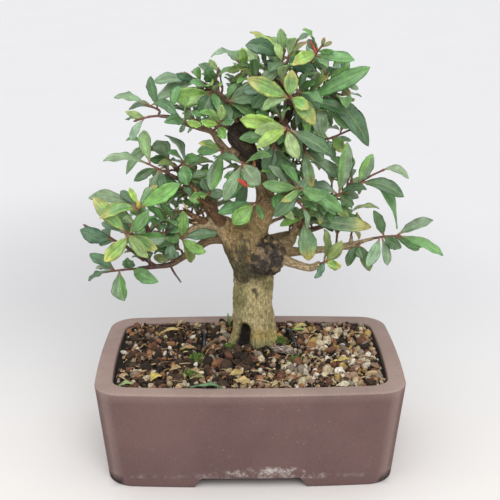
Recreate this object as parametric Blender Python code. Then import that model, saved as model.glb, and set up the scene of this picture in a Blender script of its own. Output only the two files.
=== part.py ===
"""A pomegranate bonsai with a twisted trunk, in a low rectangular clay pot.

Lengths are in millimetres and turned into metres when a mesh is made. The tree's branches and leaves
were measured on one front view, so most of their places are given as seen from VIEW_POINT on an upright
plane, with a depth of their own. Leaves that the front view hides follow a growth rule.
"""
import math

import bpy
import bmesh
import numpy as np
from mathutils import Matrix, Vector
from mathutils.geometry import delaunay_2d_cdt

MM = 0.001

# Pot: half sizes of its outline at the foot and at the rim, and what is hollowed out of it
POT_HEIGHT = 62.5
FOOT_HALF = (85.35, 54.25)
RIM_HALF = (91.25, 58.75)
CORNER_RADIUS = 17.0
SIDE_BOW = 2.4
RIM_WALL = 10.2
INNER_CORNER_RADIUS = 10.9
RIM_EDGE = 1.2
FOOT_HEIGHT = 6.5
FLOOR_THICKNESS = 8.0
INNER_FLOOR_HALF = (77.0, 45.5)
FRONT_GAP_TOP = 29.0
FRONT_GAP_BOTTOM = 34.5
SIDE_GAP_TOP = 15.0
SIDE_GAP_BOTTOM = 18.0
FOOT_WALL = 15.0
DRAIN_SPACING = 76.0
DRAIN_DIAMETER = 14.0
DRAIN_SIDES = 16
NET_SIZE = 22.0
NET_BAR = 3.1
NET_THICKNESS = 1.0
SEAT_GAP = 0.3
CUT_PAST = 1.0

# Soil: its level at the pot's wall, its mound at the trunk, its rise at the back, and its grains
SOIL_LEVEL = 59.5
MOUND_HEIGHT = 3.0
MOUND_REACH = 24.0
BACK_RISE = 2.0
BACK_RISE_FROM = 8.0
BACK_RISE_TO = 40.0
GRAIN_SPACING = 5.8
GRAIN_RISE = (0.9, 2.2)
GRAIN_JITTER = 0.7
GRAIN_EDGE_ROOM = 3.0
GRAIN_CORNER_RADIUS = 9.0
LOW_GRAIN_SHARE = 0.2
LOW_GRAIN_DROP = 0.3
SOIL_SIDE_STEP = 6.0
HOLE_RISE = 12.0

# What lies in and on the soil
WIRE_RADIUS = 0.9
WIRE_SIDES = 6
WIRE_HOLE_SIDES = 8
WIRE_HOLE_GAP = 0.4
WIRE_SINK = 7.0
WIRE_BEND = 2.2
WIRES = {
    "anchor_wire_left": [(-28.5, 9.0), (-28.2, 14.0), (-29.5, 21.0), (-30.0, 26.0)],
    "anchor_wire_right": [(29.5, 8.0), (27.5, 14.0), (25.5, 21.0), (25.0, 27.0)],
}
WIRE_RISE = 6.5
CHIP_CENTRE = (22.0, 1.5)
CHIP_SIZE = (18.0, 7.0, 5.0)
CHIP_TURN = -33.0
CHIP_ROOM = 3.0
CHIP_FLAT = 0.3
CHIP_WAVES = [(0.12, (9.0, 4.0, 0.0), 0.0), (0.08, (0.0, 11.0, 0.0), 1.57)]

# Trunk below the crotch: x, y, z of its middle and its radius
TRUNK = [(2, 22, 50, 16.0), (2, 22, 61.5, 16.0), (2.5, 22, 66, 14.6), (3, 22, 74, 13.2),
         (3, 22, 84, 12.5), (3, 22, 94, 12.3), (3, 22, 103, 12.4), (2.5, 22, 111, 13.2),
         (0.5, 22, 119, 14.8), (-1.5, 22, 127, 15.6), (-2.5, 22, 134, 14.0), (-3, 22, 139, 10.0)]
TRUNK_SIDES = 18
FLUTE_DEPTH = 0.05
FLUTE_WAVES = [(3, 1.0, 0.0), (5, 0.6, 1.0)]
ROOT_DEPTH = 0.13
ROOT_LOBES = 3
ROOT_PHASE = 0.9
ROOT_FADE = 7.0
TWIST_PER_MM = 0.035
BURL_CENTRE = (10, 15, 121)
BURL_RADIUS = 11.5
BURL_WAVES = [(0.07, (5.1, 0.0, 4.3), 1.3), (0.05, (0.0, 7.7, 2.1), 0.0)]
LIMB_SIDES = 5
THICK_LIMB_SIDES = 8
THICK_LIMB = 4.0

# Wood above it: x and z as seen, depth y and radius, from root to tip
WOOD = {
    "crown": [(0, 132, 22, 11), (5, 142, 20, 8), (9, 153, 17, 6.2), (9, 164, 16, 5.4),
              (6, 174, 18, 5.2), (1, 184, 20, 6.2), (-4, 193, 20, 7), (-3, 200, 21, 6.5),
              (4, 203.5, 22, 5), (13, 204, 22, 4), (20, 206, 21, 3.5), (24, 213, 20, 3.1),
              (24, 222, 18, 2.6), (20, 232, 18, 2.2), (19, 240, 18, 1.7)],
    "twist_strand": [(5, 180, 15, 3.6), (0, 189, 12, 4.2), (-8, 196, 16, 4.6), (-7, 203, 24, 3.4),
                     (3, 206, 27, 2.4)],
    "left_limb": [(-8, 134, 20, 8.5), (-16, 141, 19, 6.5), (-23, 143, 18, 5), (-31, 140, 16, 3.8),
                  (-38, 137, 14, 3.1), (-47, 136, 11, 2.6), (-57, 136, 7, 2.2), (-66, 136, 4, 1.8)],
    "left_limb_up": [(-60, 136, 6, 1.6), (-63, 143, 4, 1.4), (-66, 149, 2.5, 1.2)],
    "stub_high": [(-18, 143, 19, 4.5), (-22, 150, 20, 4), (-27, 158, 21, 3.1), (-31, 163, 22, 1.4)],
    "stub_front": [(-17, 144, 16, 3.6), (-22, 151, 11, 2.8), (-27, 156, 8, 1.0)],
    "stub_left": [(-25, 143, 17, 3.2), (-32, 147, 14, 2.0), (-38, 151, 12, 0.8)],
    "mid_left": [(-26, 156, 22, 2.8), (-32, 164, 26, 2.3), (-38, 170, 30, 2.1), (-42, 176, 32, 1.8),
                 (-46, 181, 33, 1.5)],
    "mid_left_low": [(-36, 168, 29, 1.6), (-44, 172, 25, 1.4), (-50, 175.5, 21, 1.2)],
    "high_left": [(-3, 190, 18, 3.4), (-12, 187.5, 15, 2.7), (-18, 194, 14, 2.3), (-22, 200, 13, 2.0),
                  (-30, 202.5, 12, 1.7), (-38, 205, 11, 1.5), (-45, 208.5, 10, 1.3),
                  (-53, 209.6, 9, 1.1)],
    "crown_left": [(-4, 202, 23, 3.4), (-8, 211, 26, 2.5), (-14, 219, 28, 2.1), (-20, 224, 28, 1.7),
                   (-25, 228, 27.5, 1.3)],
    "low_left": [(-12, 135, 24, 4.6), (-24, 133, 26, 3.2), (-33, 127, 26, 2.5), (-42, 121, 24, 2.1),
                 (-49, 117, 22, 1.8), (-60, 115.5, 19, 1.5), (-69, 114.4, 16.5, 1.3)],
    "bare_twig": [(-49, 117.5, 22, 0.9), (-46.5, 112, 19, 0.8), (-42, 105, 16, 0.6)],
    "purple_left": [(-57, 116, 20, 1.2), (-65, 121, 18, 1.1), (-72, 126, 15.5, 1.0)],
    "low_right": [(12, 124, 18, 5.5), (22, 119.5, 14, 3.4), (30, 116.5, 10, 2.7), (38, 114.5, 7, 2.4),
                  (44, 117, 5, 2.2)],
    "long_right": [(16, 126, 20, 5), (26, 125, 22, 3.2), (36, 125.5, 24, 2.5), (48, 126.5, 24, 2.2),
                   (57, 128, 22, 2.2), (63, 129, 20, 2.3), (70, 131.5, 17.5, 1.3),
                   (77, 133.5, 15, 1.0)],
    "knob_up": [(62, 129, 20, 1.6), (63, 135, 18, 1.0)],
    "knob_down": [(61, 128, 20, 1.6), (65, 123.5, 18, 0.9)],
    "rising_right": [(15, 128, 25, 5), (25, 131, 27, 3.1), (27.5, 138, 28, 2.5), (30, 145, 28, 2.2),
                     (34, 151, 27, 1.9), (42, 156, 25, 1.6), (50, 159.5, 22.5, 1.4), (57, 162, 20, 1.2),
                     (63, 166, 18, 1.0)],
    "cross_twig": [(8, 141, 24, 1.8), (15, 145, 27, 1.3), (21, 147, 29, 1.0)],
    "mid_right": [(21, 203, 21, 2.6), (27, 196.5, 24, 1.9), (35, 191.5, 26, 1.5),
                  (43, 194.5, 25.5, 1.2)],
    "crown_right": [(24, 214, 20, 2.6), (31, 212.5, 22, 2.0), (36, 216, 23, 1.7), (42, 222, 24, 1.4),
                    (47, 226.5, 24, 1.1)],
    "top_right": [(21, 231, 18, 1.9), (29, 237, 20, 1.5), (36, 242, 22, 1.2)],
    "top_left": [(23, 224, 18, 1.9), (12, 229, 22, 1.5), (3, 234, 24, 1.2)],
    "back_left_low": [(-8, 136, 30, 5), (-18, 141, 42, 2.8), (-32, 144, 51, 2.0), (-44, 147, 58, 1.4)],
    "back_right_low": [(12, 131, 32, 4.6), (24, 136, 43, 2.6), (38, 139, 53, 1.9), (50, 143, 59, 1.3)],
    "back_mid": [(5, 176, 22, 3.6), (10, 176, 36, 2.5), (19, 177, 47, 1.8), (27, 181, 55, 1.2)],
    "back_high": [(-4, 197, 25, 3.4), (-9, 200, 38, 2.2), (-15, 205, 49, 1.5)],
    "back_top": [(23, 222, 20, 2.0), (21, 226, 33, 1.6), (16, 230, 43, 1.1)],
    "front_centre": [(8, 166, 14, 3.4), (3, 171, 0, 2.2), (-2, 178, -10, 1.5)],
    "front_right": [(9, 156, 15, 3.4), (20, 159, 2, 2.2), (28, 163, -7, 1.6)],
    "front_crown": [(20, 206, 19, 2.6), (22, 203, 6, 1.8), (22, 202, -4, 1.4)],
    "front_top": [(24, 218, 18, 2.2), (24, 218, 8, 1.6), (24, 219, -1, 1.3)],
}

# Leafy sprays: name, the branch that bears it, its twig as seen x, z and depth y, its measured leaves
# (place along the twig, tip x and z as seen, seen width, depth of tip less depth of base, rise of the
# middle) and how many more leaves the growth rule adds
SPRAYS = [
    ("left_low_tip", "low_left", [(-78, 113.7, 14), (-91, 112, 11)],
     [(0.12, -57, 106, 8, -8, 0), (0.14, -75, 121.5, 8, -6, 0), (0.5, -78, 93, 10, -6, 0),
      (0.62, -98, 124, 8, -2, 2)], 2),
    ("left_low_mid", "low_left", [(-47, 120, 16)],
     [(0.6, -48, 129, 9, -8, 0), (0.8, -59, 122, 6, 4, 0)], 1),
    ("left_purple_tip", "purple_left", [(-84, 134, 14), (-99, 142, 14)],
     [(0.42, -103, 139.5, 10, -6, 0), (0.36, -92, 130, 3, 4, 0)], 1),
    ("left_rosette_low", "left_limb", [(-72, 136, 1.5), (-75, 137.5, -1)],
     [(0.9, -94, 160, 9, 2, 0), (0.85, -90, 144.5, 4.5, 8, 0), (0.7, -89, 119, 9, -6, 0),
      (0.6, -56, 127, 8, -10, 0), (0.8, -61, 151, 8, -6, 0), (0.5, -50, 134.5, 9, -4, 0),
      (0.95, -62, 121.5, 8, -14, 0)], 1),
    ("left_rosette_up", "left_limb_up", [(-67, 153, 1), (-67.5, 156, 0)],
     [(0.7, -78, 164, 5, 6, 1), (0.5, -42, 168, 10, -6, 0), (0.5, -97, 160, 5, 8, 2),
      (0.35, -91, 147, 6, -4, 4), (0.95, -72, 166, 4, -3, 0)], 1),
    ("left_inner", "left_limb", [(-41.5, 134, 7)],
     [(0.9, -40, 151, 8, -4, 0), (0.9, -26.5, 125, 8, -8, 0), (0.7, -19, 137, 6, -2, 0),
      (0.7, -56, 129, 4, 4, 0), (0.5, -50, 134, 5, -6, 0)], 1),
    ("left_inner_up", "left_limb", [(-50, 140.5, 7)],
     [(0.7, -42.5, 146, 6, -6, 0), (0.9, -60, 147, 5, 4, 0)], 2),
    ("left_mid_tip", "mid_left", [(-52, 186, 34), (-58, 190, 35)],
     [(0.1, -55, 195, 11, -10, 3), (0.75, -74, 174.5, 6, -4, 6), (0.3, -59, 183, 6, -10, 0)], 2),
    ("left_mid_side", "mid_left", [(-39, 181.5, 26)],
     [(0.8, -29, 184.5, 7, -6, 1.5), (0.8, -37, 167.5, 10, -8, 0)], 1),
    ("left_mid_low", "mid_left_low", [(-55, 178, 18.5), (-60, 180.5, 17)],
     [(0.45, -69, 170, 6, -6, 1), (0.35, -59, 162, 7, -6, 0), (0.25, -51, 163, 6, -10, 0),
      (0.95, -87, 184, 2.2, 2, 1)], 1),
    ("left_high_tip", "high_left", [(-59, 209, 8), (-66, 207, 7)],
     [(0.6, -72.5, 212, 4.5, -6, 0), (0.65, -70.5, 195, 4.5, -5, 0)], 1),
    ("left_high_side", "high_left", [(-53, 213, 13), (-60, 216.3, 14)],
     [(0.95, -79, 221, 4, 3, 1.5), (0.8, -41.5, 208.5, 6, -6, 4)], 2),
    ("left_high_mid", "high_left", [(-37.5, 206, 6)],
     [(0.8, -48.5, 206.5, 4.5, -4, 0), (0.7, -41, 199.5, 3, -3, 0), (0.6, -34.5, 213, 4, 2, 0),
      (0.9, -28, 204, 5, -6, 0)], 1),
    ("left_high_rosette", "high_left", [(-18.5, 203, 8), (-17, 206, 4)],
     [(0.7, -28, 206, 5, -6, 0), (0.95, -16, 216, 5.5, -6, 0), (0.5, -14, 196, 6.5, -6, 0),
      (0.8, -9, 207, 4, -3, 0), (0.9, -24, 213.5, 5, -5, 0)], 1),
    ("crown_left_big", "crown_left", [(-20, 222, 22), (-22, 223.5, 18)],
     [(0.95, -29, 209.5, 11, -8, 0), (0.8, -43.5, 219, 12, -2, 0)], 2),
    ("crown_left_tip", "crown_left", [(-29, 230.3, 27), (-33, 232, 26)],
     [(0.5, -56, 229.5, 4, -4, 0), (0.45, -55, 219, 5.5, -6, 0), (0.8, -42, 234, 5.5, -4, 0),
      (0.4, -30, 238, 3, -4, 0)], 1),
    ("crown_left_up", "crown_left", [(-20, 229, 25), (-18, 236, 22)],
     [(0.3, -25.5, 237, 8, -8, 0), (0.95, -23, 242.5, 4.5, -4, 0)], 2),
    ("top_left_tip", "top_left", [(-2, 237.5, 22), (-5, 240, 20)],
     [(0.95, -22, 244.5, 2.2, -2, 3.5), (0.5, -4, 249, 5.5, -5, 0), (0.7, -13, 236, 5, -6, 0),
      (0.3, -10, 229.5, 4, -8, 0)], 1),
    ("crown_front_left", "crown_left", [(-13, 217, 21), (-13, 218, 15)],
     [(0.95, 8, 227, 13, -4, 0)], 3),
    ("top_centre", "crown", [(19.5, 243, 17.5), (20.5, 246.5, 17)],
     [(0.3, -2, 250.5, 10, -6, 4), (0.6, 0.5, 258.5, 5, 2, 0), (0.95, 18, 260, 6, -3, 0),
      (0.65, 38, 236.5, 9, -3, 0)], 1),
    ("top_shoot", "crown", [(22, 240, 10), (23.5, 246, 8), (28, 253, 7)],
     [(0.98, 34.5, 256.8, 3.5, -3, 1), (0.5, 33, 253, 2, -3, 0)], 1),
    ("top_right_tip", "top_right", [(39, 246, 22), (42, 250, 22)],
     [(0.4, 25.5, 242.5, 6.5, -12, 0), (0.25, 61.5, 243, 5.5, -3, 0), (0.98, 43.5, 255, 2.5, -2, 0),
      (0.9, 48, 252.5, 2.5, -2, 0), (0.6, 49, 247, 4, -4, 0), (0.55, 34, 254, 4.5, 3, 0)], 1),
    ("crown_right_long", "crown_right", [(33, 219, 17)],
     [(0.9, 70.5, 238, 9, -4, 0), (0.8, 58, 211.5, 6.5, 2, 0)], 2),
    ("crown_right_tip", "crown_right", [(51, 228.5, 24), (55, 229, 23)],
     [(0.95, 63.5, 232, 4.5, -5, 0), (0.9, 64.5, 225, 3.5, 3, 0), (0.6, 57.5, 234.5, 3, -4, 0),
      (0.6, 44, 217.5, 8, 6, 0), (0.9, 59.5, 222, 3, -6, 0)], 1),
    ("crown_centre", "front_top", [(24, 219.5, -4), (24.5, 220.5, -7)],
     [(0.5, -1, 231, 10, -6, 0), (0.7, 25, 236, 8.5, -4, 0), (0.9, 35, 213.5, 7.5, -7, 0),
      (0.6, 39, 204, 10, -6, 3), (0.4, 7.5, 212.5, 7, -2, 3)], 0),
    ("crown_right_hang", "crown_right", [(42.5, 218.5, 18)],
     [(0.7, 71.5, 190.5, 12, -4, 7), (0.9, 43, 197.5, 11, -8, 0), (0.8, 59, 201.5, 7, 4, 0)], 1),
    ("mid_right_tip", "mid_right", [(50, 196.5, 24.5), (59, 200.5, 23.5)],
     [(0.25, 36, 203.5, 6.5, -6, 0), (0.35, 61, 194.5, 2.5, -2, 0), (0.35, 57.5, 187.5, 7.5, -7, 0),
      (0.2, 51, 182.5, 5, -4, 0)], 1),
    ("centre_right", "front_crown", [(22.5, 202, -7), (23, 201.5, -10)],
     [(0.9, 50, 185.5, 9, -5, 0), (0.8, 29, 183.5, 8.5, -8, 0), (0.7, 3.5, 199.5, 8.5, -4, 1),
      (0.6, 5, 190.5, 6.5, -8, 0), (0.5, -5.5, 207.5, 9.5, -3, 2)], 0),
    ("right_mid_up", "rising_right", [(54, 161, 17)],
     [(0.8, 58.5, 193.5, 9, -4, 0), (0.8, 63.5, 154.5, 8.5, -6, 0)], 2),
    ("right_purple_tip", "rising_right", [(72, 172, 15), (80, 176, 12)],
     [(0.15, 74, 186, 8, -4, 0), (0.95, 96.5, 171, 4, -4, 3), (0.2, 94, 159.5, 7.5, -6, 3),
      (0.1, 92, 139.5, 5, -2, 10)], 1),
    ("right_low_tip", "long_right", [(83, 134.5, 13), (91, 135, 10.5)],
     [(0.4, 76, 151, 6.5, -6, 0), (0.95, 112.5, 145, 5, -3, 0), (0.9, 109, 129.5, 8, -6, 0),
      (0.8, 105.5, 125.5, 6, -2, 0), (0.35, 93.5, 127, 7.5, -8, 0), (0.3, 86, 115.5, 5.5, -7, 0),
      (0.98, 120, 122.5, 4.5, -1, 0), (0.2, 73, 115, 7.5, -10, 0)], 0),
    ("right_low_knob", "long_right", [(67, 128.5, 12)],
     [(0.7, 70.5, 120, 7.5, -6, 0)], 2),
    ("right_inner_long", "rising_right", [(33, 144.5, 21)],
     [(0.8, 75, 140.5, 9, -6, 1), (0.8, 37, 119, 12, -8, 0)], 2),
    ("right_low_inner", "low_right", [(47.5, 118.5, 3)],
     [(0.8, 57, 115, 6.5, -4, 0), (0.9, 41, 107.5, 5, -6, 0), (0.6, 48.5, 139.5, 4.5, -2, 0),
      (0.9, 57, 131.5, 7.5, 2, 0), (0.7, 57, 125, 4, 6, 0)], 0),
    ("mid_right_front", "front_right", [(30.5, 165, -11), (31, 165.5, -16)],
     [(0.7, 8, 168, 7.5, -3, 0), (0.9, 57, 150, 9, -4, 2), (0.95, 46, 160, 9, -6, 0),
      (0.75, 15, 147.5, 9, -6, 0), (0.85, 20, 157, 5, -5, 0)], 1),
    ("mid_centre_front", "front_centre", [(-3.5, 180.5, -14), (-4, 181, -19)],
     [(0.95, 6, 167.5, 11, -8, 0), (0.8, 3, 165.5, 8, -2, 0), (0.7, -15, 157.5, 8, -3, 0)], 2),
    ("mid_left_front", "high_left", [(-16, 188, 9)],
     [(0.8, -23, 164, 9, -7, 0), (0.7, -31, 188, 7, 4, 1)], 1),
    ("crotch_front", "crown", [(6, 157, 5), (3, 156, 0)],
     [(0.95, -9.5, 142.5, 11, -5, 0), (0.85, -19, 150, 7, -4, 0), (0.9, 8.5, 145.5, 3.5, -8, 0)], 0),
    ("mid_right_hang", "mid_right", [(33, 188, 18)],
     [(0.8, 38, 165.5, 7.5, -8, 0), (0.9, 57.5, 171, 6, -3, 0)], 1),
    ("mid_centre_hang", "crown", [(15, 197, 14), (15, 191, 9)],
     [(0.9, 14, 167.5, 8, -5, 0), (0.85, 9, 174.5, 6, -2, 0), (0.8, 27, 169.5, 9, 3, 0)], 1),
    ("back_left_low_tip", "back_left_low", [(-52, 150, 62)], [], 6),
    ("back_left_low_side", "back_left_low", [(-30, 151, 57)], [], 6),
    ("back_right_low_tip", "back_right_low", [(56, 146, 63)], [], 6),
    ("back_right_low_side", "back_right_low", [(36, 147, 57)], [], 6),
    ("back_mid_tip", "back_mid", [(32, 185, 60)], [], 6),
    ("back_mid_side", "back_mid", [(12, 184, 53)], [], 5),
    ("back_high_tip", "back_high", [(-20, 209, 55)], [], 6),
    ("back_high_side", "back_high", [(-3, 208, 45)], [], 5),
    ("back_top_tip", "back_top", [(13, 234, 50)], [], 6),
    ("back_right_high", "crown_right", [(40, 214, 36), (44, 216, 44)], [], 5),
    ("back_left_mid", "mid_left", [(-36, 176, 42), (-38, 180, 50)], [], 5),
    ("back_top_right", "top_right", [(34, 236, 32), (38, 238, 41)], [], 5),
]

# The front view, and the room that leaves keep
VIEW_POINT = np.array([-9.3, -591.7, 323.7])
FRONT_PLANE = 10.0
UP = np.array([0.0, 0.0, 1.0])
TO_VIEWER = np.array([0.0, -1.0, 0.0])
TWIG_GAP = 0.35
TIP_LEAN = 0.6
LEAST_SQUARE = 0.45
TWIG_RADIUS = 0.85
TWIG_TIP_RADIUS = 0.6
TWIG_SIDES = 5
LEAF_SAMPLE = 1.6
LEAF_CLEARANCE = 2.7
OWN_CLEARANCE = 2.2
SHARED_SHARE = 0.4
WOOD_CLEARANCE = 1.6
WIDTH_OVER_LENGTH = 0.32
LONG_LEAF = 30.0
SLIM_SHARE = 0.75
DEPTH_SHIFTS = (0, -3, 3, -6, 6, -9, 9, -12, 12, -15, 15, -18, 18)
VIEW_TURNS = (0, 0.1, -0.1, 0.2, -0.2)
GROWTH_TRIES = 14
SEED = 26

# Leaves of the growth rule: those beside measured leaves, and those of the hidden sprays
RULE_ALONG = (0.3, 1.0)
RULE_LENGTH = (13, 22)
RULE_BACK = 0.45
HIDDEN_PAIR_STEP = 0.3
HIDDEN_LENGTH = (17, 27)
HIDDEN_BACK = 0.2
RULE_RATIO = (0.34, 0.42)
RULE_OPENING = (42, 66)
RULE_TURN_JITTER = 0.3
RULE_RISE_SHARE = 0.06
RULE_FACE = (0.8, 0.5, 0.25)
ALONG_FACE_LIMIT = 0.93
TRY_TURN = 37
TRY_OPENINGS = (0, 14, -14)
SHORT_FROM_TRY = 8
SHORT_SHARE = 0.8

# Leaf blade: its outline, the stations along it, and how thick it is at its rib
STALK_SHARE = 0.1
OUTLINE_SWELL = 0.72
OUTLINE_FULLNESS = 2.4
OUTLINE_TAPER = 0.82
OUTLINE_PEAK = 0.522
STALK_HALF_WIDTH = 0.6
RIB_THICKNESS = 0.9
RIB_DROP = 0.2
LARGE_LEAF = 18.0
LARGE_STATIONS = (0.0, 0.3, 0.62, 0.88)
SMALL_STATIONS = (0.0, 0.35, 0.75)
BLADE_FOLD = 0.22
BLADE_BOW = 0.05

COLOURS = {
    "clay": (0.19, 0.115, 0.10),
    "soil": (0.045, 0.032, 0.024),
    "bark": (0.24, 0.19, 0.11),
    "leaf": (0.09, 0.19, 0.045),
    "wire": (0.03, 0.03, 0.03),
    "net": (0.02, 0.02, 0.02),
    "chip": (0.30, 0.26, 0.24),
}


def unit(vector):
    return vector / np.linalg.norm(vector)


def seen(x, z, y):
    """The true place of a point seen at x, z on the front plane that lies at depth y."""
    on_plane = np.array([x, FRONT_PLANE, z], float)
    reach = (y - VIEW_POINT[1]) / (FRONT_PLANE - VIEW_POINT[1])
    return VIEW_POINT + (on_plane - VIEW_POINT) * reach


# Growth: where wood, twigs and leaves lie


def wood_lines():
    """Each piece of wood as its centre points and radii."""
    lines = {"trunk": (np.array([row[:3] for row in TRUNK], float), np.array([row[3] for row in TRUNK]))}
    burl = np.array([BURL_CENTRE, BURL_CENTRE], float)
    burl[1, 1] += 0.1
    lines["burl"] = (burl, np.array([BURL_RADIUS, BURL_RADIUS]))
    for name, points in WOOD.items():
        places = np.array([seen(x, z, y) for x, z, y, _ in points])
        lines[name] = (places, np.array([radius for _, _, _, radius in points], float))
    return lines


def nearest_on_line(point, points):
    """The gap, segment, fraction and place of a bent line's nearest point."""
    best = None
    for index in range(len(points) - 1):
        start, run = points[index], points[index + 1] - points[index]
        fraction = float(np.clip(np.dot(point - start, run) / np.dot(run, run), 0, 1))
        place = start + run * fraction
        gap = np.linalg.norm(point - place)
        if best is None or gap < best[0] - 1e-9:
            best = (gap, index, fraction, place)
    return best


def twig_start(target, points, radii):
    """Where a twig that heads for a target leaves a branch, just clear of its bark."""
    _, index, fraction, place = nearest_on_line(target, points)
    radius = radii[index] + (radii[index + 1] - radii[index]) * fraction
    along = unit(points[index + 1] - points[index])
    heading = unit(target - place)
    lean = abs(float(np.dot(heading, along)))
    square = math.sqrt(max(1 - lean * lean, 0.0))
    at_tip = index == len(points) - 2 and fraction > 0.999 and lean > TIP_LEAN
    if at_tip:
        return place + heading * (TWIG_GAP + TWIG_RADIUS * square) / lean
    return place + heading * (radius + TWIG_GAP + TWIG_RADIUS * lean) / max(square, LEAST_SQUARE)


def along_line(points, fraction):
    """Place and direction at a fraction of a bent line's length."""
    runs = np.linalg.norm(np.diff(points, axis=0), axis=1)
    left = fraction * runs.sum()
    for index, run in enumerate(runs):
        if left <= run or index == len(runs) - 1:
            step = unit(points[index + 1] - points[index])
            return points[index] + step * left, step
        left -= run


def leaf_outline(place):
    """Half width of the blade, as a share of its greatest, from 0 at the stalk to 1 at the tip."""
    if place <= STALK_SHARE or place >= 1:
        return 0.0
    share = (place - STALK_SHARE) / (1 - STALK_SHARE)
    return share ** OUTLINE_SWELL * (1 - share ** OUTLINE_FULLNESS) ** OUTLINE_TAPER / OUTLINE_PEAK


def make_leaf(base, tip, width, rise, face):
    """A leaf as its base, tip, width, the rise of its middle and the way its upper face looks."""
    run = tip - base
    length = float(np.linalg.norm(run))
    axis = run / length
    face = unit(face - axis * np.dot(face, axis))
    return {"base": base, "tip": tip, "length": length, "width": width, "rise": rise, "face": face,
            "side": np.cross(axis, face)}


def leaf_point(leaf, place, across):
    """A point of the leaf's middle surface, place 0 to 1 along it and across -1 to 1."""
    bow = 4 * place * (1 - place)
    point = leaf["base"] + (leaf["tip"] - leaf["base"]) * place
    point = point + UP * leaf["rise"] * bow + leaf["face"] * BLADE_BOW * leaf["length"] * bow
    half = 0.5 * leaf["width"] * leaf_outline(place)
    return point + leaf["side"] * across * half + leaf["face"] * BLADE_FOLD * abs(across) * half


def leaf_samples(leaf, from_place=0.0):
    """Points spread over a leaf closely enough to tell what it touches."""
    steps = max(6, math.ceil(leaf["length"] / LEAF_SAMPLE))
    lanes = max(2, math.ceil(leaf["width"] / LEAF_SAMPLE / 2) * 2)
    points = []
    for step in range(1, steps + 1):
        place = step / steps
        if place < from_place:
            continue
        if leaf_outline(place) * leaf["width"] < LEAF_SAMPLE:
            points.append(leaf_point(leaf, place, 0))
            continue
        for lane in range(lanes + 1):
            points.append(leaf_point(leaf, place, 2 * lane / lanes - 1))
    return np.array(points)


def line_samples(points, spacing):
    places = []
    for start, end in zip(points[:-1], points[1:]):
        count = max(2, math.ceil(np.linalg.norm(end - start) / spacing))
        for step in range(count):
            places.append(start + (end - start) * step / count)
    places.append(points[-1])
    return np.array(places)


class Space:
    """What already fills the crown: wood as thick lines, twigs and leaves as clouds of points."""

    def __init__(self, wood):
        segments = [(points[i], points[i + 1], max(sizes[i], sizes[i + 1]))
                    for points, sizes in wood.values() for i in range(len(points) - 1)]
        self.starts = np.array([segment[0] for segment in segments])
        self.runs = np.array([segment[1] for segment in segments]) - self.starts
        self.radii = np.array([segment[2] for segment in segments])
        self.clouds = []

    def add(self, owner, points, blade=None):
        """Adds a twig or leaf: all its points, and for a leaf those of the blade's outer part."""
        centre = points.mean(axis=0)
        reach = float(np.linalg.norm(points - centre, axis=1).max())
        self.clouds.append((owner, points, centre, reach, blade))

    def add_leaf(self, owner, leaf):
        self.add(owner, leaf_samples(leaf), leaf_samples(leaf, SHARED_SHARE))

    def wood_room(self, points):
        """Least distance from the points to the bark."""
        offset = points[:, None, :] - self.starts[None, :, :]
        share = np.einsum("ijk,jk->ij", offset, self.runs) / np.einsum("jk,jk->j", self.runs, self.runs)
        share = np.clip(share, 0, 1)
        gap = np.linalg.norm(offset - self.runs[None] * share[..., None], axis=2) - self.radii[None]
        return float(gap.min())

    def leaf_room(self, owner, points):
        """Least distance from the points to other sprays."""
        centre = points.mean(axis=0)
        reach = float(np.linalg.norm(points - centre, axis=1).max())
        least = math.inf
        for other, cloud, middle, spread, _ in self.clouds:
            apart = np.linalg.norm(centre - middle)
            if other == owner or apart > reach + spread + LEAF_CLEARANCE:
                continue
            gaps = np.linalg.norm(points[:, None, :] - cloud[None, :, :], axis=2)
            least = min(least, float(gaps.min()))
        return least

    def own_room(self, owner, points):
        """Least distance from the outer part of a blade to the others of its spray."""
        blades = [blade for other, _, _, _, blade in self.clouds if other == owner and blade is not None]
        if not blades:
            return math.inf
        return min(float(np.linalg.norm(points[:, None, :] - blade[None, :, :], axis=2).min())
                   for blade in blades)

    def first_fit(self, owner, trials):
        """The first trial leaf that clears everything, or else all but its own spray."""
        spare = None
        for leaf in trials:
            points = leaf_samples(leaf)
            if self.wood_room(points) <= WOOD_CLEARANCE:
                continue
            if self.leaf_room(owner, points) <= LEAF_CLEARANCE:
                continue
            if self.own_room(owner, leaf_samples(leaf, SHARED_SHARE)) > OWN_CLEARANCE:
                return leaf
            spare = spare or leaf
        return spare


def measured_leaf(twig, entry, shift, turn):
    """A leaf of the front view, its tip moved in depth and turned to pass its neighbours."""
    along, x, z, width, depth, rise = entry
    base, _ = along_line(twig, along)
    run = seen(x, z, base[1] + depth + shift) - base
    cosine, sine = math.cos(turn), math.sin(turn)
    run = np.array([run[0] * cosine - run[2] * sine, run[1], run[0] * sine + run[2] * cosine])
    length = float(np.linalg.norm(run))
    axis = run / length
    slim = 1.0 if length < LONG_LEAF else SLIM_SHARE
    true_width = max(width, WIDTH_OVER_LENGTH * length * slim)
    tilt = math.acos(min(1.0, width / true_width))
    front = unit(TO_VIEWER - axis * np.dot(TO_VIEWER, axis))
    over = np.cross(axis, front)
    if over[2] < 0:
        over = -over
    face = front * math.cos(tilt) + over * math.sin(tilt)
    return make_leaf(base, base + run, true_width, rise, face)


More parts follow.
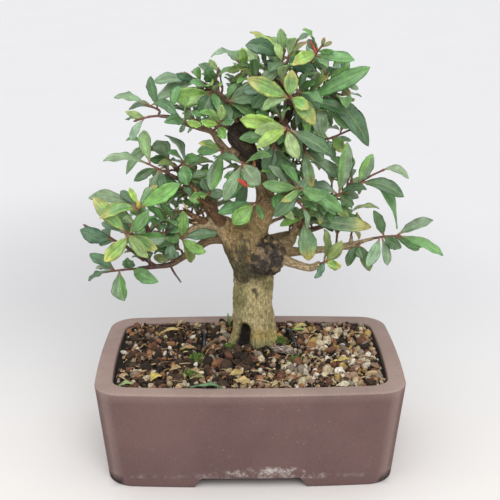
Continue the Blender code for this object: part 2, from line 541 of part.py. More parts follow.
def growth_draws(rng, number, hidden):
    """One rule leaf's place, turn, opening, length, width and lean away from the viewer."""
    pair, second = divmod(number, 2)
    if hidden:
        along = max(RULE_ALONG[0], 1.0 - HIDDEN_PAIR_STEP * pair)
    else:
        along = rng.uniform(*RULE_ALONG)
    turn = math.pi * second + math.pi / 2 * pair + rng.uniform(-RULE_TURN_JITTER, RULE_TURN_JITTER)
    opening = math.radians(rng.uniform(*RULE_OPENING))
    length = rng.uniform(*(HIDDEN_LENGTH if hidden else RULE_LENGTH))
    ratio = rng.uniform(*RULE_RATIO)
    return along, turn, opening, length, ratio, HIDDEN_BACK if hidden else RULE_BACK


def grown_leaf(twig, draws, attempt):
    """A rule leaf: opposite pairs, each pair square to the last, turned on at each attempt."""
    along, turn, opening, length, ratio, back = draws
    base, step = along_line(twig, along)
    side = unit(np.cross(step, UP) if abs(step[2]) < 0.9 else np.cross(step, TO_VIEWER))
    over = np.cross(side, step)
    turn = turn + math.radians(TRY_TURN) * attempt
    opening = opening + math.radians(TRY_OPENINGS[attempt % len(TRY_OPENINGS)])
    out = side * math.cos(turn) + over * math.sin(turn)
    heading = unit(step * math.cos(opening) + out * math.sin(opening) - TO_VIEWER * back)
    length = length if attempt < SHORT_FROM_TRY else SHORT_SHARE * length
    face = unit(UP * RULE_FACE[0] + step * RULE_FACE[1] + TO_VIEWER * RULE_FACE[2])
    if abs(np.dot(face, heading)) > ALONG_FACE_LIMIT:
        face = unit(UP + side)
    rise = RULE_RISE_SHARE * length
    return make_leaf(base, base + heading * length, ratio * length, rise, face)


def place_measured(space, spray, entries):
    """Adds the measured leaves that clear their neighbours, and counts the ones that can't."""
    missed = 0
    for entry in entries:
        trials = (measured_leaf(spray["twig"], entry, shift, turn)
                  for turn in VIEW_TURNS for shift in DEPTH_SHIFTS)
        leaf = space.first_fit(spray["name"], trials)
        if leaf is None:
            missed += 1
            continue
        spray["leaves"].append(leaf)
        space.add_leaf(spray["name"], leaf)
    return missed


def place_grown(space, spray, rng, count, hidden):
    for number in range(count):
        draws = growth_draws(rng, number, hidden)
        trials = (grown_leaf(spray["twig"], draws, attempt) for attempt in range(GROWTH_TRIES))
        leaf = space.first_fit(spray["name"], trials)
        if leaf is not None:
            spray["leaves"].append(leaf)
            space.add_leaf(spray["name"], leaf)


def grow():
    """The plant: its wood, and each spray with its twig and leaves."""
    wood = wood_lines()
    space = Space(wood)
    sprays = []
    for name, branch, path, _, _ in SPRAYS:
        targets = [seen(*point) for point in path]
        twig = np.array([twig_start(targets[0], *wood[branch])] + targets)
        sprays.append({"name": name, "twig": twig, "leaves": []})
        space.add(name, line_samples(twig, 1.0))
    missed = [place_measured(space, spray, entry[3]) for spray, entry in zip(sprays, SPRAYS)]
    rng = np.random.default_rng(SEED)
    for spray, entry, short in zip(sprays, SPRAYS, missed):
        place_grown(space, spray, rng, entry[4] + short, not entry[3])
    return wood, sprays


# Meshes


def material(name):
    made = bpy.data.materials.new(name)
    made.use_nodes = True
    shader = made.node_tree.nodes["Principled BSDF"]
    shader.inputs["Base Color"].default_value = (*COLOURS[name], 1)
    shader.inputs["Roughness"].default_value = 0.45 if name == "leaf" else 0.85
    shader.inputs["Metallic"].default_value = 0.0
    return made


def add_object(name, points, faces, kind=None):
    """A mesh object from points in millimetres."""
    mesh = bpy.data.meshes.new(name)
    mesh.from_pydata([Vector(point) * MM for point in points], [], faces)
    mesh.update()
    made = bpy.data.objects.new(name, mesh)
    bpy.context.scene.collection.objects.link(made)
    if kind is not None:
        mesh.materials.append(material(kind))
    return made


def face_outwards(made):
    sheet = bmesh.new()
    sheet.from_mesh(made.data)
    bmesh.ops.recalc_face_normals(sheet, faces=sheet.faces)
    sheet.to_mesh(made.data)
    sheet.free()
    return made


def take_modifiers(made):
    """Turns the object's mesh into what its modifiers show, and drops them."""
    graph = bpy.context.evaluated_depsgraph_get()
    mesh = bpy.data.meshes.new_from_object(made.evaluated_get(graph))
    made.modifiers.clear()
    made.data = mesh


def drop(others):
    for other in others:
        bpy.data.objects.remove(other)


def combine(made, others, operation):
    """Joins or cuts an object by a collection of others, which are then removed."""
    group = bpy.data.collections.new("group")
    for other in others:
        group.objects.link(other)
    boolean = made.modifiers.new("combine", "BOOLEAN")
    boolean.operation = operation
    boolean.operand_type = "COLLECTION"
    boolean.collection = group
    boolean.solver = "EXACT"
    take_modifiers(made)
    drop(others)
    bpy.data.collections.remove(group)


def bridge(first, second, count):
    """Quads between two rings of the same count that start at the given point numbers."""
    return [(first + i, first + (i + 1) % count, second + (i + 1) % count, second + i)
            for i in range(count)]


def loft(name, rings, kind=None):
    """A closed solid through rings of equal count, from the first to the last."""
    count = len(rings[0])
    points = [point for ring in rings for point in ring]
    faces = [tuple(range(count))[::-1]]
    for level in range(len(rings) - 1):
        faces += bridge(level * count, (level + 1) * count, count)
    faces.append(tuple(range(len(points) - count, len(points))))
    return face_outwards(add_object(name, points, faces, kind))


def tube(name, points, radii, sides, kind=None):
    """A closed tube along a bent line, its rings kept from twisting."""
    steps = np.diff(points, axis=0)
    normal = np.cross(unit(steps[0]), UP)
    if np.linalg.norm(normal) < 0.1:
        normal = np.cross(unit(steps[0]), TO_VIEWER)
    rings = []
    for index, point in enumerate(points):
        before, after = steps[max(index - 1, 0)], steps[min(index, len(steps) - 1)]
        along = unit(unit(before) + unit(after))
        normal = unit(normal - along * np.dot(normal, along))
        other = np.cross(along, normal)
        angles = [2 * math.pi * i / sides for i in range(sides)]
        rings.append([point + (normal * math.cos(angle) + other * math.sin(angle)) * radii[index]
                      for angle in angles])
    return loft(name, rings, kind)


def box(name, low, high, kind=None):
    corners = [(x, y, z) for z in (low[2], high[2]) for x, y in
               ((low[0], low[1]), (high[0], low[1]), (high[0], high[1]), (low[0], high[1]))]
    return loft(name, [corners[:4], corners[4:]], kind)


def pot_outline(half, corner, z):
    """A rounded rectangle whose sides bow outwards, as points at one height."""
    flat_x, flat_y = half[0] - corner, half[1] - corner
    points = []
    for quarter, (sign_x, sign_y) in enumerate(((1, 1), (-1, 1), (-1, -1), (1, -1))):
        for step in range(5):
            angle = math.pi / 2 * (quarter + step / 4)
            points.append((sign_x * flat_x + corner * math.cos(angle),
                           sign_y * flat_y + corner * math.sin(angle), z))
        if quarter % 2 == 0:
            for share in (0.5, 0.0, -0.5):
                bowed = half[1] + SIDE_BOW * (1 - share ** 2)
                points.append((sign_x * flat_x * share, sign_y * bowed, z))
        else:
            points.append((sign_x * (half[0] + 0.5 * SIDE_BOW), 0.0, z))
    return points


def inner_half(z):
    """Half sizes of the pot's hollow at a height."""
    floor = FOOT_HEIGHT + FLOOR_THICKNESS
    share = (z - floor) / (POT_HEIGHT - floor)
    return [low + (rim - RIM_WALL - low) * share for low, rim in zip(INNER_FLOOR_HALF, RIM_HALF)]


def foot_gap(name, top, bottom, across_x):
    """A cutter with sloped ends that opens the space between the feet."""
    reach = 2 * RIM_HALF[0]
    outline = [(-bottom, -CUT_PAST), (bottom, -CUT_PAST), (top, FOOT_HEIGHT), (-top, FOOT_HEIGHT)]
    if across_x:
        rings = [[(end, wide, z) for wide, z in outline] for end in (-reach, reach)]
    else:
        rings = [[(wide, end, z) for wide, z in outline] for end in (-reach, reach)]
    return loft(name, rings)


def make_pot():
    floor = FOOT_HEIGHT + FLOOR_THICKNESS
    rim_in = [half - RIM_WALL for half in RIM_HALF]
    rings = [
        pot_outline(FOOT_HALF, CORNER_RADIUS, 0.0),
        pot_outline(RIM_HALF, CORNER_RADIUS, POT_HEIGHT - RIM_EDGE),
        pot_outline([half - RIM_EDGE for half in RIM_HALF], CORNER_RADIUS - RIM_EDGE, POT_HEIGHT),
        pot_outline([half + RIM_EDGE for half in rim_in], INNER_CORNER_RADIUS + RIM_EDGE, POT_HEIGHT),
        pot_outline(rim_in, INNER_CORNER_RADIUS, POT_HEIGHT - RIM_EDGE),
        pot_outline(INNER_FLOOR_HALF, INNER_CORNER_RADIUS, floor),
    ]
    pot = loft("pot", rings, "clay")
    cutters = [
        foot_gap("front_gap", FRONT_GAP_TOP, FRONT_GAP_BOTTOM, False),
        foot_gap("side_gap", SIDE_GAP_TOP, SIDE_GAP_BOTTOM, True),
        box("foot_hollow", (FOOT_WALL - FOOT_HALF[0], FOOT_WALL - FOOT_HALF[1], -CUT_PAST),
            (FOOT_HALF[0] - FOOT_WALL, FOOT_HALF[1] - FOOT_WALL, FOOT_HEIGHT)),
    ]
    for cutter in cutters:
        combine(pot, [cutter], "DIFFERENCE")
    holes = []
    for x in (-DRAIN_SPACING / 2, DRAIN_SPACING / 2):
        places = np.array([(x, 0, FOOT_HEIGHT - CUT_PAST), (x, 0, floor + CUT_PAST)])
        holes.append(tube("drain_hole", places, [DRAIN_DIAMETER / 2] * 2, DRAIN_SIDES))
    combine(pot, holes, "DIFFERENCE")
    return pot


def make_net(name, middle):
    """A square of drainage net, its meshes cut through."""
    floor = FOOT_HEIGHT + FLOOR_THICKNESS + SEAT_GAP
    half = NET_SIZE / 2
    net = box(name, (middle - half, -half, floor), (middle + half, half, floor + NET_THICKNESS), "net")
    meshes = []
    opening = (NET_SIZE - 3 * NET_BAR) / 2
    reach = (NET_BAR + opening) / 2
    for x in (middle - reach, middle + reach):
        for y in (-reach, reach):
            meshes.append(box("mesh", (x - opening / 2, y - opening / 2, floor - CUT_PAST),
                              (x + opening / 2, y + opening / 2, floor + NET_THICKNESS + CUT_PAST)))
    combine(net, meshes, "DIFFERENCE")
    return net


def soil_height(x, y):
    """The soil's level without its grains, higher at the trunk and towards the back."""
    spread = ((x - TRUNK[0][0]) ** 2 + (y - TRUNK[0][1]) ** 2) / (2 * MOUND_REACH ** 2)
    back = min(max((y - BACK_RISE_FROM) / (BACK_RISE_TO - BACK_RISE_FROM), 0.0), 1.0)
    return SOIL_LEVEL + MOUND_HEIGHT * math.exp(-spread) + BACK_RISE * back


def near_chip(x, y):
    turn = math.radians(CHIP_TURN)
    dx, dy = x - CHIP_CENTRE[0], y - CHIP_CENTRE[1]
    along = dx * math.cos(turn) + dy * math.sin(turn)
    across = dy * math.cos(turn) - dx * math.sin(turn)
    return abs(along) < CHIP_SIZE[0] / 2 + CHIP_ROOM and abs(across) < CHIP_SIZE[1] / 2 + CHIP_ROOM


def soil_edge():
    """The soil's outline at its top, just inside the pot, cut into short steps."""
    corner = INNER_CORNER_RADIUS - SEAT_GAP
    half = [size - SEAT_GAP for size in inner_half(SOIL_LEVEL)]
    ring = pot_outline(half, corner, SOIL_LEVEL)
    points = []
    for start, end in zip(ring, ring[1:] + ring[:1]):
        count = max(1, round(math.dist(start, end) / SOIL_SIDE_STEP))
        for step in range(count):
            points.append([low + (high - low) * step / count for low, high in zip(start, end)])
    return points, half


def clear_of_edge(x, y, half):
    """Whether a grain fits here, away from the soil's straight edges and round corners."""
    past_x = abs(x) - half[0] + GRAIN_EDGE_ROOM
    past_y = abs(y) - half[1] + GRAIN_EDGE_ROOM
    if past_x > 0 or past_y > 0:
        return False
    corner = GRAIN_CORNER_RADIUS
    return math.hypot(max(past_x + corner, 0), max(past_y + corner, 0)) <= corner


def grain_points(half):
    """A lattice over the soil, its cells raised in the middle like grains."""
    rng = np.random.default_rng(SEED)
    row_step = GRAIN_SPACING * math.sqrt(3) / 2
    rows = math.ceil(half[1] / row_step)
    columns = math.ceil(half[0] / GRAIN_SPACING)
    seat = max(soil_height(*CHIP_CENTRE), SOIL_LEVEL)
    points = []
    for row in range(-rows, rows + 1):
        for column in range(-columns, columns + 1):
            x = (column + 0.5 * (row % 2)) * GRAIN_SPACING + rng.uniform(-GRAIN_JITTER, GRAIN_JITTER)
            y = row * row_step + rng.uniform(-GRAIN_JITTER, GRAIN_JITTER)
            rise = rng.uniform(*GRAIN_RISE)
            if not clear_of_edge(x, y, half):
                continue
            raised = (column - row // 2 - row % 2 + 2 * row) % 3 == 0
            lift = rise if raised else LOW_GRAIN_SHARE * rise - LOW_GRAIN_DROP
            points.append((x, y, seat if near_chip(x, y) else soil_height(x, y) + lift))
    return points


def make_soil(trunk_hole, others):
    edge, half = soil_edge()
    inside = grain_points(half)
    flat = [Vector((x, y)) for x, y, _ in edge + inside]
    ring = [(i, (i + 1) % len(edge)) for i in range(len(edge))]
    _, _, faces, origins, _, _ = delaunay_2d_cdt(flat, ring, [], 1, 1e-5)
    places = edge + inside
    points = [places[source[0]] for source in origins]
    where = {source[0]: number for number, source in enumerate(origins)}
    top_ring = [where[i] for i in range(len(edge))]
    floor = FOOT_HEIGHT + FLOOR_THICKNESS + SEAT_GAP
    low_half = [size - SEAT_GAP for size in inner_half(floor)]
    top_half = inner_half(SOIL_LEVEL)
    shrink = [low_half[axis] / (top_half[axis] - SEAT_GAP) for axis in (0, 1)]
    first = len(points)
    points += [(x * shrink[0], y * shrink[1], floor) for x, y, _ in edge]
    count = len(edge)
    faces = [tuple(face) for face in faces]
    for i in range(count):
        after = (i + 1) % count
        faces.append((top_ring[after], top_ring[i], first + i, first + after))
    faces.append(tuple(first + i for i in range(count))[::-1])
    soil = face_outwards(add_object("soil", points, faces, "soil"))
    combine(soil, [trunk_hole], "DIFFERENCE")
    for other in others:
        combine(soil, [other], "DIFFERENCE")
    return soil


def flute(angle, z, radius, grow_by=0.0):
    """Distance of the bark from the trunk's middle, with twisted flutes and lobed roots."""
    ground = TRUNK[1][2]
    turn = TWIST_PER_MM * max(z - ground, 0.0)
    lobes = math.exp(-max(z - ground, 0.0) / ROOT_FADE)
    wave = sum(share * math.cos(count * (angle - turn) + phase) for count, share, phase in FLUTE_WAVES)
    root = ROOT_DEPTH * lobes * math.cos(ROOT_LOBES * angle + ROOT_PHASE)
    return radius * (1 + FLUTE_DEPTH * wave * (1 - lobes) + root) + grow_by


def trunk_ring(row, grow_by=0.0, z=None):
    x, y, height, radius = row
    angles = [2 * math.pi * i / TRUNK_SIDES for i in range(TRUNK_SIDES)]
    reach = [flute(angle, height, radius, grow_by) for angle in angles]
    level = height if z is None else z
    return [(x + far * math.cos(a), y + far * math.sin(a), level) for far, a in zip(reach, angles)]


def make_trunk(wood):
    """Trunk, burl, dead stubs and branches, joined in one solid."""
    trunk = loft("trunk", [trunk_ring(row) for row in TRUNK], "bark")
    limbs = []
    for name, (points, radii) in wood.items():
        if name in ("trunk", "burl"):
            continue
        sides = THICK_LIMB_SIDES if radii[0] > THICK_LIMB else LIMB_SIDES
        limbs.append(tube(name, points, radii, sides))
    limbs.append(make_burl())
    combine(trunk, limbs, "UNION")
    return trunk


def rough_share(place, waves):
    """A gentle unevenness over a ball, as a share of its radius."""
    return 1 + sum(depth * math.sin(np.dot(turns, place) + phase) for depth, turns, phase in waves)


def make_burl():
    """The rough callus on the trunk's right front."""
    shape = bmesh.new()
    bmesh.ops.create_icosphere(shape, subdivisions=2, radius=1.0)
    points = []
    for vertex in shape.verts:
        place = vertex.co
        rough = rough_share(place, BURL_WAVES)
        points.append([BURL_CENTRE[i] + place[i] * BURL_RADIUS * rough for i in range(3)])
    faces = [tuple(vertex.index for vertex in face.verts) for face in shape.faces]
    shape.free()
    return add_object("burl", points, faces)


def make_blade(leaf):
    """A leaf as a thin solid of triangles, flat above and keeled along its rib below."""
    stations = LARGE_STATIONS if leaf["length"] > LARGE_LEAF else SMALL_STATIONS
    points = []
    for place in stations:
        half = max(0.5 * leaf["width"] * leaf_outline(place), STALK_HALF_WIDTH)
        middle = leaf_point(leaf, place, 0)
        lift = leaf["face"] * BLADE_FOLD * half
        drop = leaf["face"] * max(RIB_THICKNESS - BLADE_FOLD * half, RIB_DROP)
        points += [middle - leaf["side"] * half + lift, middle + leaf["side"] * half + lift, middle - drop]
    points.append(leaf_point(leaf, 1.0, 0))
    tip = len(points) - 1
    faces = [(0, 1, 2)]
    for level in range(len(stations) - 1):
        for corner in range(3):
            low, after = 3 * level + corner, 3 * level + (corner + 1) % 3
            faces += [(low, after, after + 3), (low, after + 3, low + 3)]
    faces += [(tip - 3, tip - 2, tip), (tip - 2, tip - 1, tip), (tip - 1, tip - 3, tip)]
    return face_outwards(add_object("blade", points, faces))


def make_spray(spray):
    """A twig with its leaves, joined in one solid."""
    radii = np.linspace(TWIG_RADIUS, TWIG_TIP_RADIUS, len(spray["twig"]))
    made = tube("spray_" + spray["name"], spray["twig"], radii, TWIG_SIDES, "leaf")
    combine(made, [make_blade(leaf) for leaf in spray["leaves"]], "UNION")
    return made


def wire_points(feet):
    """An arch of wire between two holes in the soil."""
    points = []
    start, end = feet[0], feet[-1]
    points.append((start[0], start[1], soil_height(*start) - WIRE_SINK))
    points.append((start[0], start[1], soil_height(*start) + WIRE_BEND))
    for x, y in feet[1:-1]:
        points.append((x, y, soil_height(x, y) + WIRE_RISE))
    points.append((end[0], end[1], soil_height(*end) + WIRE_BEND))
    points.append((end[0], end[1], soil_height(*end) - WIRE_SINK))
    return np.array(points)


def wire_hole(foot):
    ground = soil_height(*foot)
    places = np.array([(*foot, ground - WIRE_SINK - SEAT_GAP), (*foot, ground + HOLE_RISE)])
    return tube("wire_hole", places, [WIRE_RADIUS + WIRE_HOLE_GAP] * 2, WIRE_HOLE_SIDES)


def make_chip():
    """A weathered chip of bark lying on the soil."""
    shape = bmesh.new()
    bmesh.ops.create_icosphere(shape, subdivisions=2, radius=0.5)
    turn = Matrix.Rotation(math.radians(CHIP_TURN), 3, "Z")
    seat = max(soil_height(*CHIP_CENTRE), SOIL_LEVEL) + SEAT_GAP
    points = []
    for vertex in shape.verts:
        place = vertex.co
        rough = rough_share(place, CHIP_WAVES)
        local = Vector([place[i] * CHIP_SIZE[i] * rough for i in range(3)])
        local.z = max(local.z, -CHIP_FLAT * CHIP_SIZE[2])
        local = turn @ local
        points.append((CHIP_CENTRE[0] + local.x, CHIP_CENTRE[1] + local.y,
                       seat + local.z + CHIP_FLAT * CHIP_SIZE[2]))
    faces = [tuple(vertex.index for vertex in face.verts) for face in shape.faces]
    shape.free()
    return add_object("bark_chip", points, faces, "chip")


def net_pocket(middle):
    half = NET_SIZE / 2 + SEAT_GAP
    floor = FOOT_HEIGHT + FLOOR_THICKNESS
    return box("net_pocket", (middle - half, -half, floor - CUT_PAST),
               (middle + half, half, floor + NET_THICKNESS + 2 * SEAT_GAP))


def make_things_in_soil():
    """Drainage nets and anchor wires, with the holes that they need in the soil."""
    cutters = []
    for name, sign in (("drainage_net_left", -1), ("drainage_net_right", 1)):
        middle = sign * DRAIN_SPACING / 2
        make_net(name, middle)
        cutters.append(net_pocket(middle))
    for name, feet in WIRES.items():
        points = wire_points(feet)
        tube(name, points, [WIRE_RADIUS] * len(points), WIRE_SIDES, "wire")
        cutters += [wire_hole(feet[0]), wire_hole(feet[-1])]
    return cutters


def stand_on_origin():
    """Moves everything so that the middle of its footprint box is over the origin."""
    points = [vertex.co for made in bpy.data.objects for vertex in made.data.vertices]
    lows = [min(point[axis] for point in points) for axis in range(3)]
    highs = [max(point[axis] for point in points) for axis in range(3)]
    shift = Matrix.Translation((-(lows[0] + highs[0]) / 2, -(lows[1] + highs[1]) / 2, -lows[2]))
    for made in bpy.data.objects:
        made.data.transform(shift)


def main():
    for old in list(bpy.data.objects):
        bpy.data.objects.remove(old)
    wood, sprays = grow()
    make_pot()
    cutters = make_things_in_soil()
    base_hole = [trunk_ring(TRUNK[0], SEAT_GAP, TRUNK[0][2] - SEAT_GAP),
                 trunk_ring(TRUNK[1], SEAT_GAP, TRUNK[1][2] + HOLE_RISE)]
    make_soil(loft("trunk_hole", base_hole), cutters)
    make_chip()
    make_trunk(wood)
    for spray in sprays:
        make_spray(spray)
    stand_on_origin()


main()
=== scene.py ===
"""The look of a potted pomegranate bonsai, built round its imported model.

Lengths are in millimetres from the middle of the pot's footprint, x to the right, y to the back and z up,
and are turned into the model's metres when a mesh is made. The tables and the growth rules repeat those of
the model, so that every branch, twig and leaf lies where the model has it.
"""
import math

import bmesh
import bpy
import numpy as np
from mathutils import Euler, Matrix, Vector, noise


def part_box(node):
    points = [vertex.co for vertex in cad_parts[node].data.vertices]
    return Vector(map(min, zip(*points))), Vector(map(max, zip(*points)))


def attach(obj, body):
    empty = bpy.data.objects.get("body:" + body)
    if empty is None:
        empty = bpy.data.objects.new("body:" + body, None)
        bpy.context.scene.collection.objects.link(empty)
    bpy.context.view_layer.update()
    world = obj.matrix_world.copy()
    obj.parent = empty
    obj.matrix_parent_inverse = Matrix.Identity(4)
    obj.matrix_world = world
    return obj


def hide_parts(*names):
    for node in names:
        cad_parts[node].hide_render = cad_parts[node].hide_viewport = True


MM = 0.001

# Camera, as fitted to the pot's edges, and the stage round the object
CAMERA_HEADING = 0.94
CAMERA_PITCH = 18.17
CAMERA_LENS = 74.19
FLOOR_REACH = 30000.0
# Floor colours near and far, and where one fades into the other: the floor is painted brighter near the
# object and darker far behind it, a painted fall of light
FLOOR_NEAR = (244, 240, 236)
FLOOR_FAR = (225, 225, 227)
FLOOR_FADE = (-0.22, 0.3)
# A painted shadow of the tree on the floor behind it: its middle and reach in metres, and the tone at its
# middle
SHADOW_POOL_CENTRE = (-0.07, 0.3)
SHADOW_POOL_REACH = (0.26, 0.3)
SHADOW_POOL_SHADE = 0.8
# Painted shade on the floor beneath the pot: its reach in metres from the pot's middle, and the tone there
UNDER_POT_SHADE_REACH = (0.079, 0.05)
UNDER_SHADE = 0.26
SKY_LOW = 0.1
SKY_HIGH = 1.06
SUNS = {
    "key": ((50, 14, 0), 1.25, 45),
    "fill": ((30, -20, 0), 0.45, 90),
    "back": ((-50, -16, 0), 0.2, 90),
}

# Pot: half sizes of its outline at the foot and at the rim, and what is hollowed out of it
POT_HEIGHT = 62.5
FOOT_HALF = (85.35, 54.25)
RIM_HALF = (91.25, 58.75)
CORNER_RADIUS = 17.0
SIDE_BOW = 2.4
RIM_WALL = 10.2
INNER_CORNER_RADIUS = 10.9
RIM_EDGE = 1.2
FOOT_HEIGHT = 6.5
FLOOR_THICKNESS = 8.0
POT_FLOOR = FOOT_HEIGHT + FLOOR_THICKNESS
INNER_FLOOR_HALF = (77.0, 45.5)
FRONT_GAP_TOP = 29.0
FRONT_GAP_BOTTOM = 34.5
SIDE_GAP_TOP = 15.0
SIDE_GAP_BOTTOM = 18.0
FOOT_WALL = 15.0
DRAIN_SPACING = 76.0
DRAIN_DIAMETER = 14.0
SEAT_GAP = 0.3
CUT_PAST = 1.0

# Soil: its level at the pot's wall, its mound at the trunk and its rise at the back
SOIL_LEVEL = 59.5
MOUND_HEIGHT = 3.0
MOUND_REACH = 24.0
BACK_RISE = 2.0
BACK_RISE_FROM = 8.0
BACK_RISE_TO = 40.0

# What lies in and on the soil
WIRE_RADIUS = 0.9
WIRE_SINK = 7.0
WIRE_BEND = 2.2
WIRES = {
    "anchor_wire_left": [(-28.5, 9.0), (-28.2, 14.0), (-29.5, 21.0), (-30.0, 26.0)],
    "anchor_wire_right": [(29.5, 8.0), (27.5, 14.0), (25.5, 21.0), (25.0, 27.0)],
}
WIRE_RISE = 6.5
CHIP_CENTRE = (22.0, 1.5)
CHIP_SIZE = (18.0, 7.0, 5.0)
CHIP_TURN = -33.0
CHIP_FLAT = 0.3
CHIP_WAVES = [(0.12, (9.0, 4.0, 0.0), 0.0), (0.08, (0.0, 11.0, 0.0), 1.57)]

# Trunk below the crotch: x, y, z of its middle and its radius
TRUNK = [(2, 22, 50, 16.0), (2, 22, 61.5, 16.0), (2.5, 22, 66, 14.6), (3, 22, 74, 13.2),
         (3, 22, 84, 12.5), (3, 22, 94, 12.3), (3, 22, 103, 12.4), (2.5, 22, 111, 13.2),
         (0.5, 22, 119, 14.8), (-1.5, 22, 127, 15.6), (-2.5, 22, 134, 14.0), (-3, 22, 139, 10.0)]
FLUTE_DEPTH = 0.05
FLUTE_WAVES = [(3, 1.0, 0.0), (5, 0.6, 1.0)]
ROOT_DEPTH = 0.13
ROOT_LOBES = 3
ROOT_PHASE = 0.9
ROOT_FADE = 7.0
TWIST_PER_MM = 0.035
TRUNK_TURNS = 64
BURL_CENTRE = (10, 15, 121)
BURL_RADIUS = 11.5
BURL_WAVES = [(0.07, (5.1, 0.0, 4.3), 1.3), (0.05, (0.0, 7.7, 2.1), 0.0)]
THICK_LIMB = 4.0
LIMB_SIDES = (28, 14)
LEAST_LIMB = 0.55
RIDGE_DEPTH = 0.13
RIDGE_TURN = 0.16

# Wood above it: x and z as seen, depth y and radius, from root to tip
WOOD = {
    "crown": [(0, 132, 22, 11), (5, 142, 20, 8), (9, 153, 17, 6.2), (9, 164, 16, 5.4),
              (6, 174, 18, 5.2), (1, 184, 20, 6.2), (-4, 193, 20, 7), (-3, 200, 21, 6.5),
              (4, 203.5, 22, 5), (13, 204, 22, 4), (20, 206, 21, 3.5), (24, 213, 20, 3.1),
              (24, 222, 18, 2.6), (20, 232, 18, 2.2), (19, 240, 18, 1.7)],
    "twist_strand": [(5, 180, 15, 3.6), (0, 189, 12, 4.2), (-8, 196, 16, 4.6), (-7, 203, 24, 3.4),
                     (3, 206, 27, 2.4)],
    "left_limb": [(-8, 134, 20, 8.5), (-16, 141, 19, 6.5), (-23, 143, 18, 5), (-31, 140, 16, 3.8),
                  (-38, 137, 14, 3.1), (-47, 136, 11, 2.6), (-57, 136, 7, 2.2), (-66, 136, 4, 1.8)],
    "left_limb_up": [(-60, 136, 6, 1.6), (-63, 143, 4, 1.4), (-66, 149, 2.5, 1.2)],
    "stub_high": [(-18, 143, 19, 4.5), (-22, 150, 20, 4), (-27, 158, 21, 3.1), (-31, 163, 22, 1.4)],
    "stub_front": [(-17, 144, 16, 3.6), (-22, 151, 11, 2.8), (-27, 156, 8, 1.0)],
    "stub_left": [(-25, 143, 17, 3.2), (-32, 147, 14, 2.0), (-38, 151, 12, 0.8)],
    "mid_left": [(-26, 156, 22, 2.8), (-32, 164, 26, 2.3), (-38, 170, 30, 2.1), (-42, 176, 32, 1.8),
                 (-46, 181, 33, 1.5)],
    "mid_left_low": [(-36, 168, 29, 1.6), (-44, 172, 25, 1.4), (-50, 175.5, 21, 1.2)],
    "high_left": [(-3, 190, 18, 3.4), (-12, 187.5, 15, 2.7), (-18, 194, 14, 2.3), (-22, 200, 13, 2.0),
                  (-30, 202.5, 12, 1.7), (-38, 205, 11, 1.5), (-45, 208.5, 10, 1.3),
                  (-53, 209.6, 9, 1.1)],
    "crown_left": [(-4, 202, 23, 3.4), (-8, 211, 26, 2.5), (-14, 219, 28, 2.1), (-20, 224, 28, 1.7),
                   (-25, 228, 27.5, 1.3)],
    "low_left": [(-12, 135, 24, 4.6), (-24, 133, 26, 3.2), (-33, 127, 26, 2.5), (-42, 121, 24, 2.1),
                 (-49, 117, 22, 1.8), (-60, 115.5, 19, 1.5), (-69, 114.4, 16.5, 1.3)],
    "bare_twig": [(-49, 117.5, 22, 0.9), (-46.5, 112, 19, 0.8), (-42, 105, 16, 0.6)],
    "purple_left": [(-57, 116, 20, 1.2), (-65, 121, 18, 1.1), (-72, 126, 15.5, 1.0)],
    "low_right": [(12, 124, 18, 5.5), (22, 119.5, 14, 3.4), (30, 116.5, 10, 2.7), (38, 114.5, 7, 2.4),
                  (44, 117, 5, 2.2)],
    "long_right": [(16, 126, 20, 5), (26, 125, 22, 3.2), (36, 125.5, 24, 2.5), (48, 126.5, 24, 2.2),
                   (57, 128, 22, 2.2), (63, 129, 20, 2.3), (70, 131.5, 17.5, 1.3),
                   (77, 133.5, 15, 1.0)],
    "knob_up": [(62, 129, 20, 1.6), (63, 135, 18, 1.0)],
    "knob_down": [(61, 128, 20, 1.6), (65, 123.5, 18, 0.9)],
    "rising_right": [(15, 128, 25, 5), (25, 131, 27, 3.1), (27.5, 138, 28, 2.5), (30, 145, 28, 2.2),
                     (34, 151, 27, 1.9), (42, 156, 25, 1.6), (50, 159.5, 22.5, 1.4), (57, 162, 20, 1.2),
                     (63, 166, 18, 1.0)],
    "cross_twig": [(8, 141, 24, 1.8), (15, 145, 27, 1.3), (21, 147, 29, 1.0)],
    "mid_right": [(21, 203, 21, 2.6), (27, 196.5, 24, 1.9), (35, 191.5, 26, 1.5),
                  (43, 194.5, 25.5, 1.2)],
    "crown_right": [(24, 214, 20, 2.6), (31, 212.5, 22, 2.0), (36, 216, 23, 1.7), (42, 222, 24, 1.4),
                    (47, 226.5, 24, 1.1)],
    "top_right": [(21, 231, 18, 1.9), (29, 237, 20, 1.5), (36, 242, 22, 1.2)],
    "top_left": [(23, 224, 18, 1.9), (12, 229, 22, 1.5), (3, 234, 24, 1.2)],
    "back_left_low": [(-8, 136, 30, 5), (-18, 141, 42, 2.8), (-32, 144, 51, 2.0), (-44, 147, 58, 1.4)],
    "back_right_low": [(12, 131, 32, 4.6), (24, 136, 43, 2.6), (38, 139, 53, 1.9), (50, 143, 59, 1.3)],
    "back_mid": [(5, 176, 22, 3.6), (10, 176, 36, 2.5), (19, 177, 47, 1.8), (27, 181, 55, 1.2)],
    "back_high": [(-4, 197, 25, 3.4), (-9, 200, 38, 2.2), (-15, 205, 49, 1.5)],
    "back_top": [(23, 222, 20, 2.0), (21, 226, 33, 1.6), (16, 230, 43, 1.1)],
    "front_centre": [(8, 166, 14, 3.4), (3, 171, 0, 2.2), (-2, 178, -10, 1.5)],
    "front_right": [(9, 156, 15, 3.4), (20, 159, 2, 2.2), (28, 163, -7, 1.6)],
    "front_crown": [(20, 206, 19, 2.6), (22, 203, 6, 1.8), (22, 202, -4, 1.4)],
    "front_top": [(24, 218, 18, 2.2), (24, 218, 8, 1.6), (24, 219, -1, 1.3)],
}

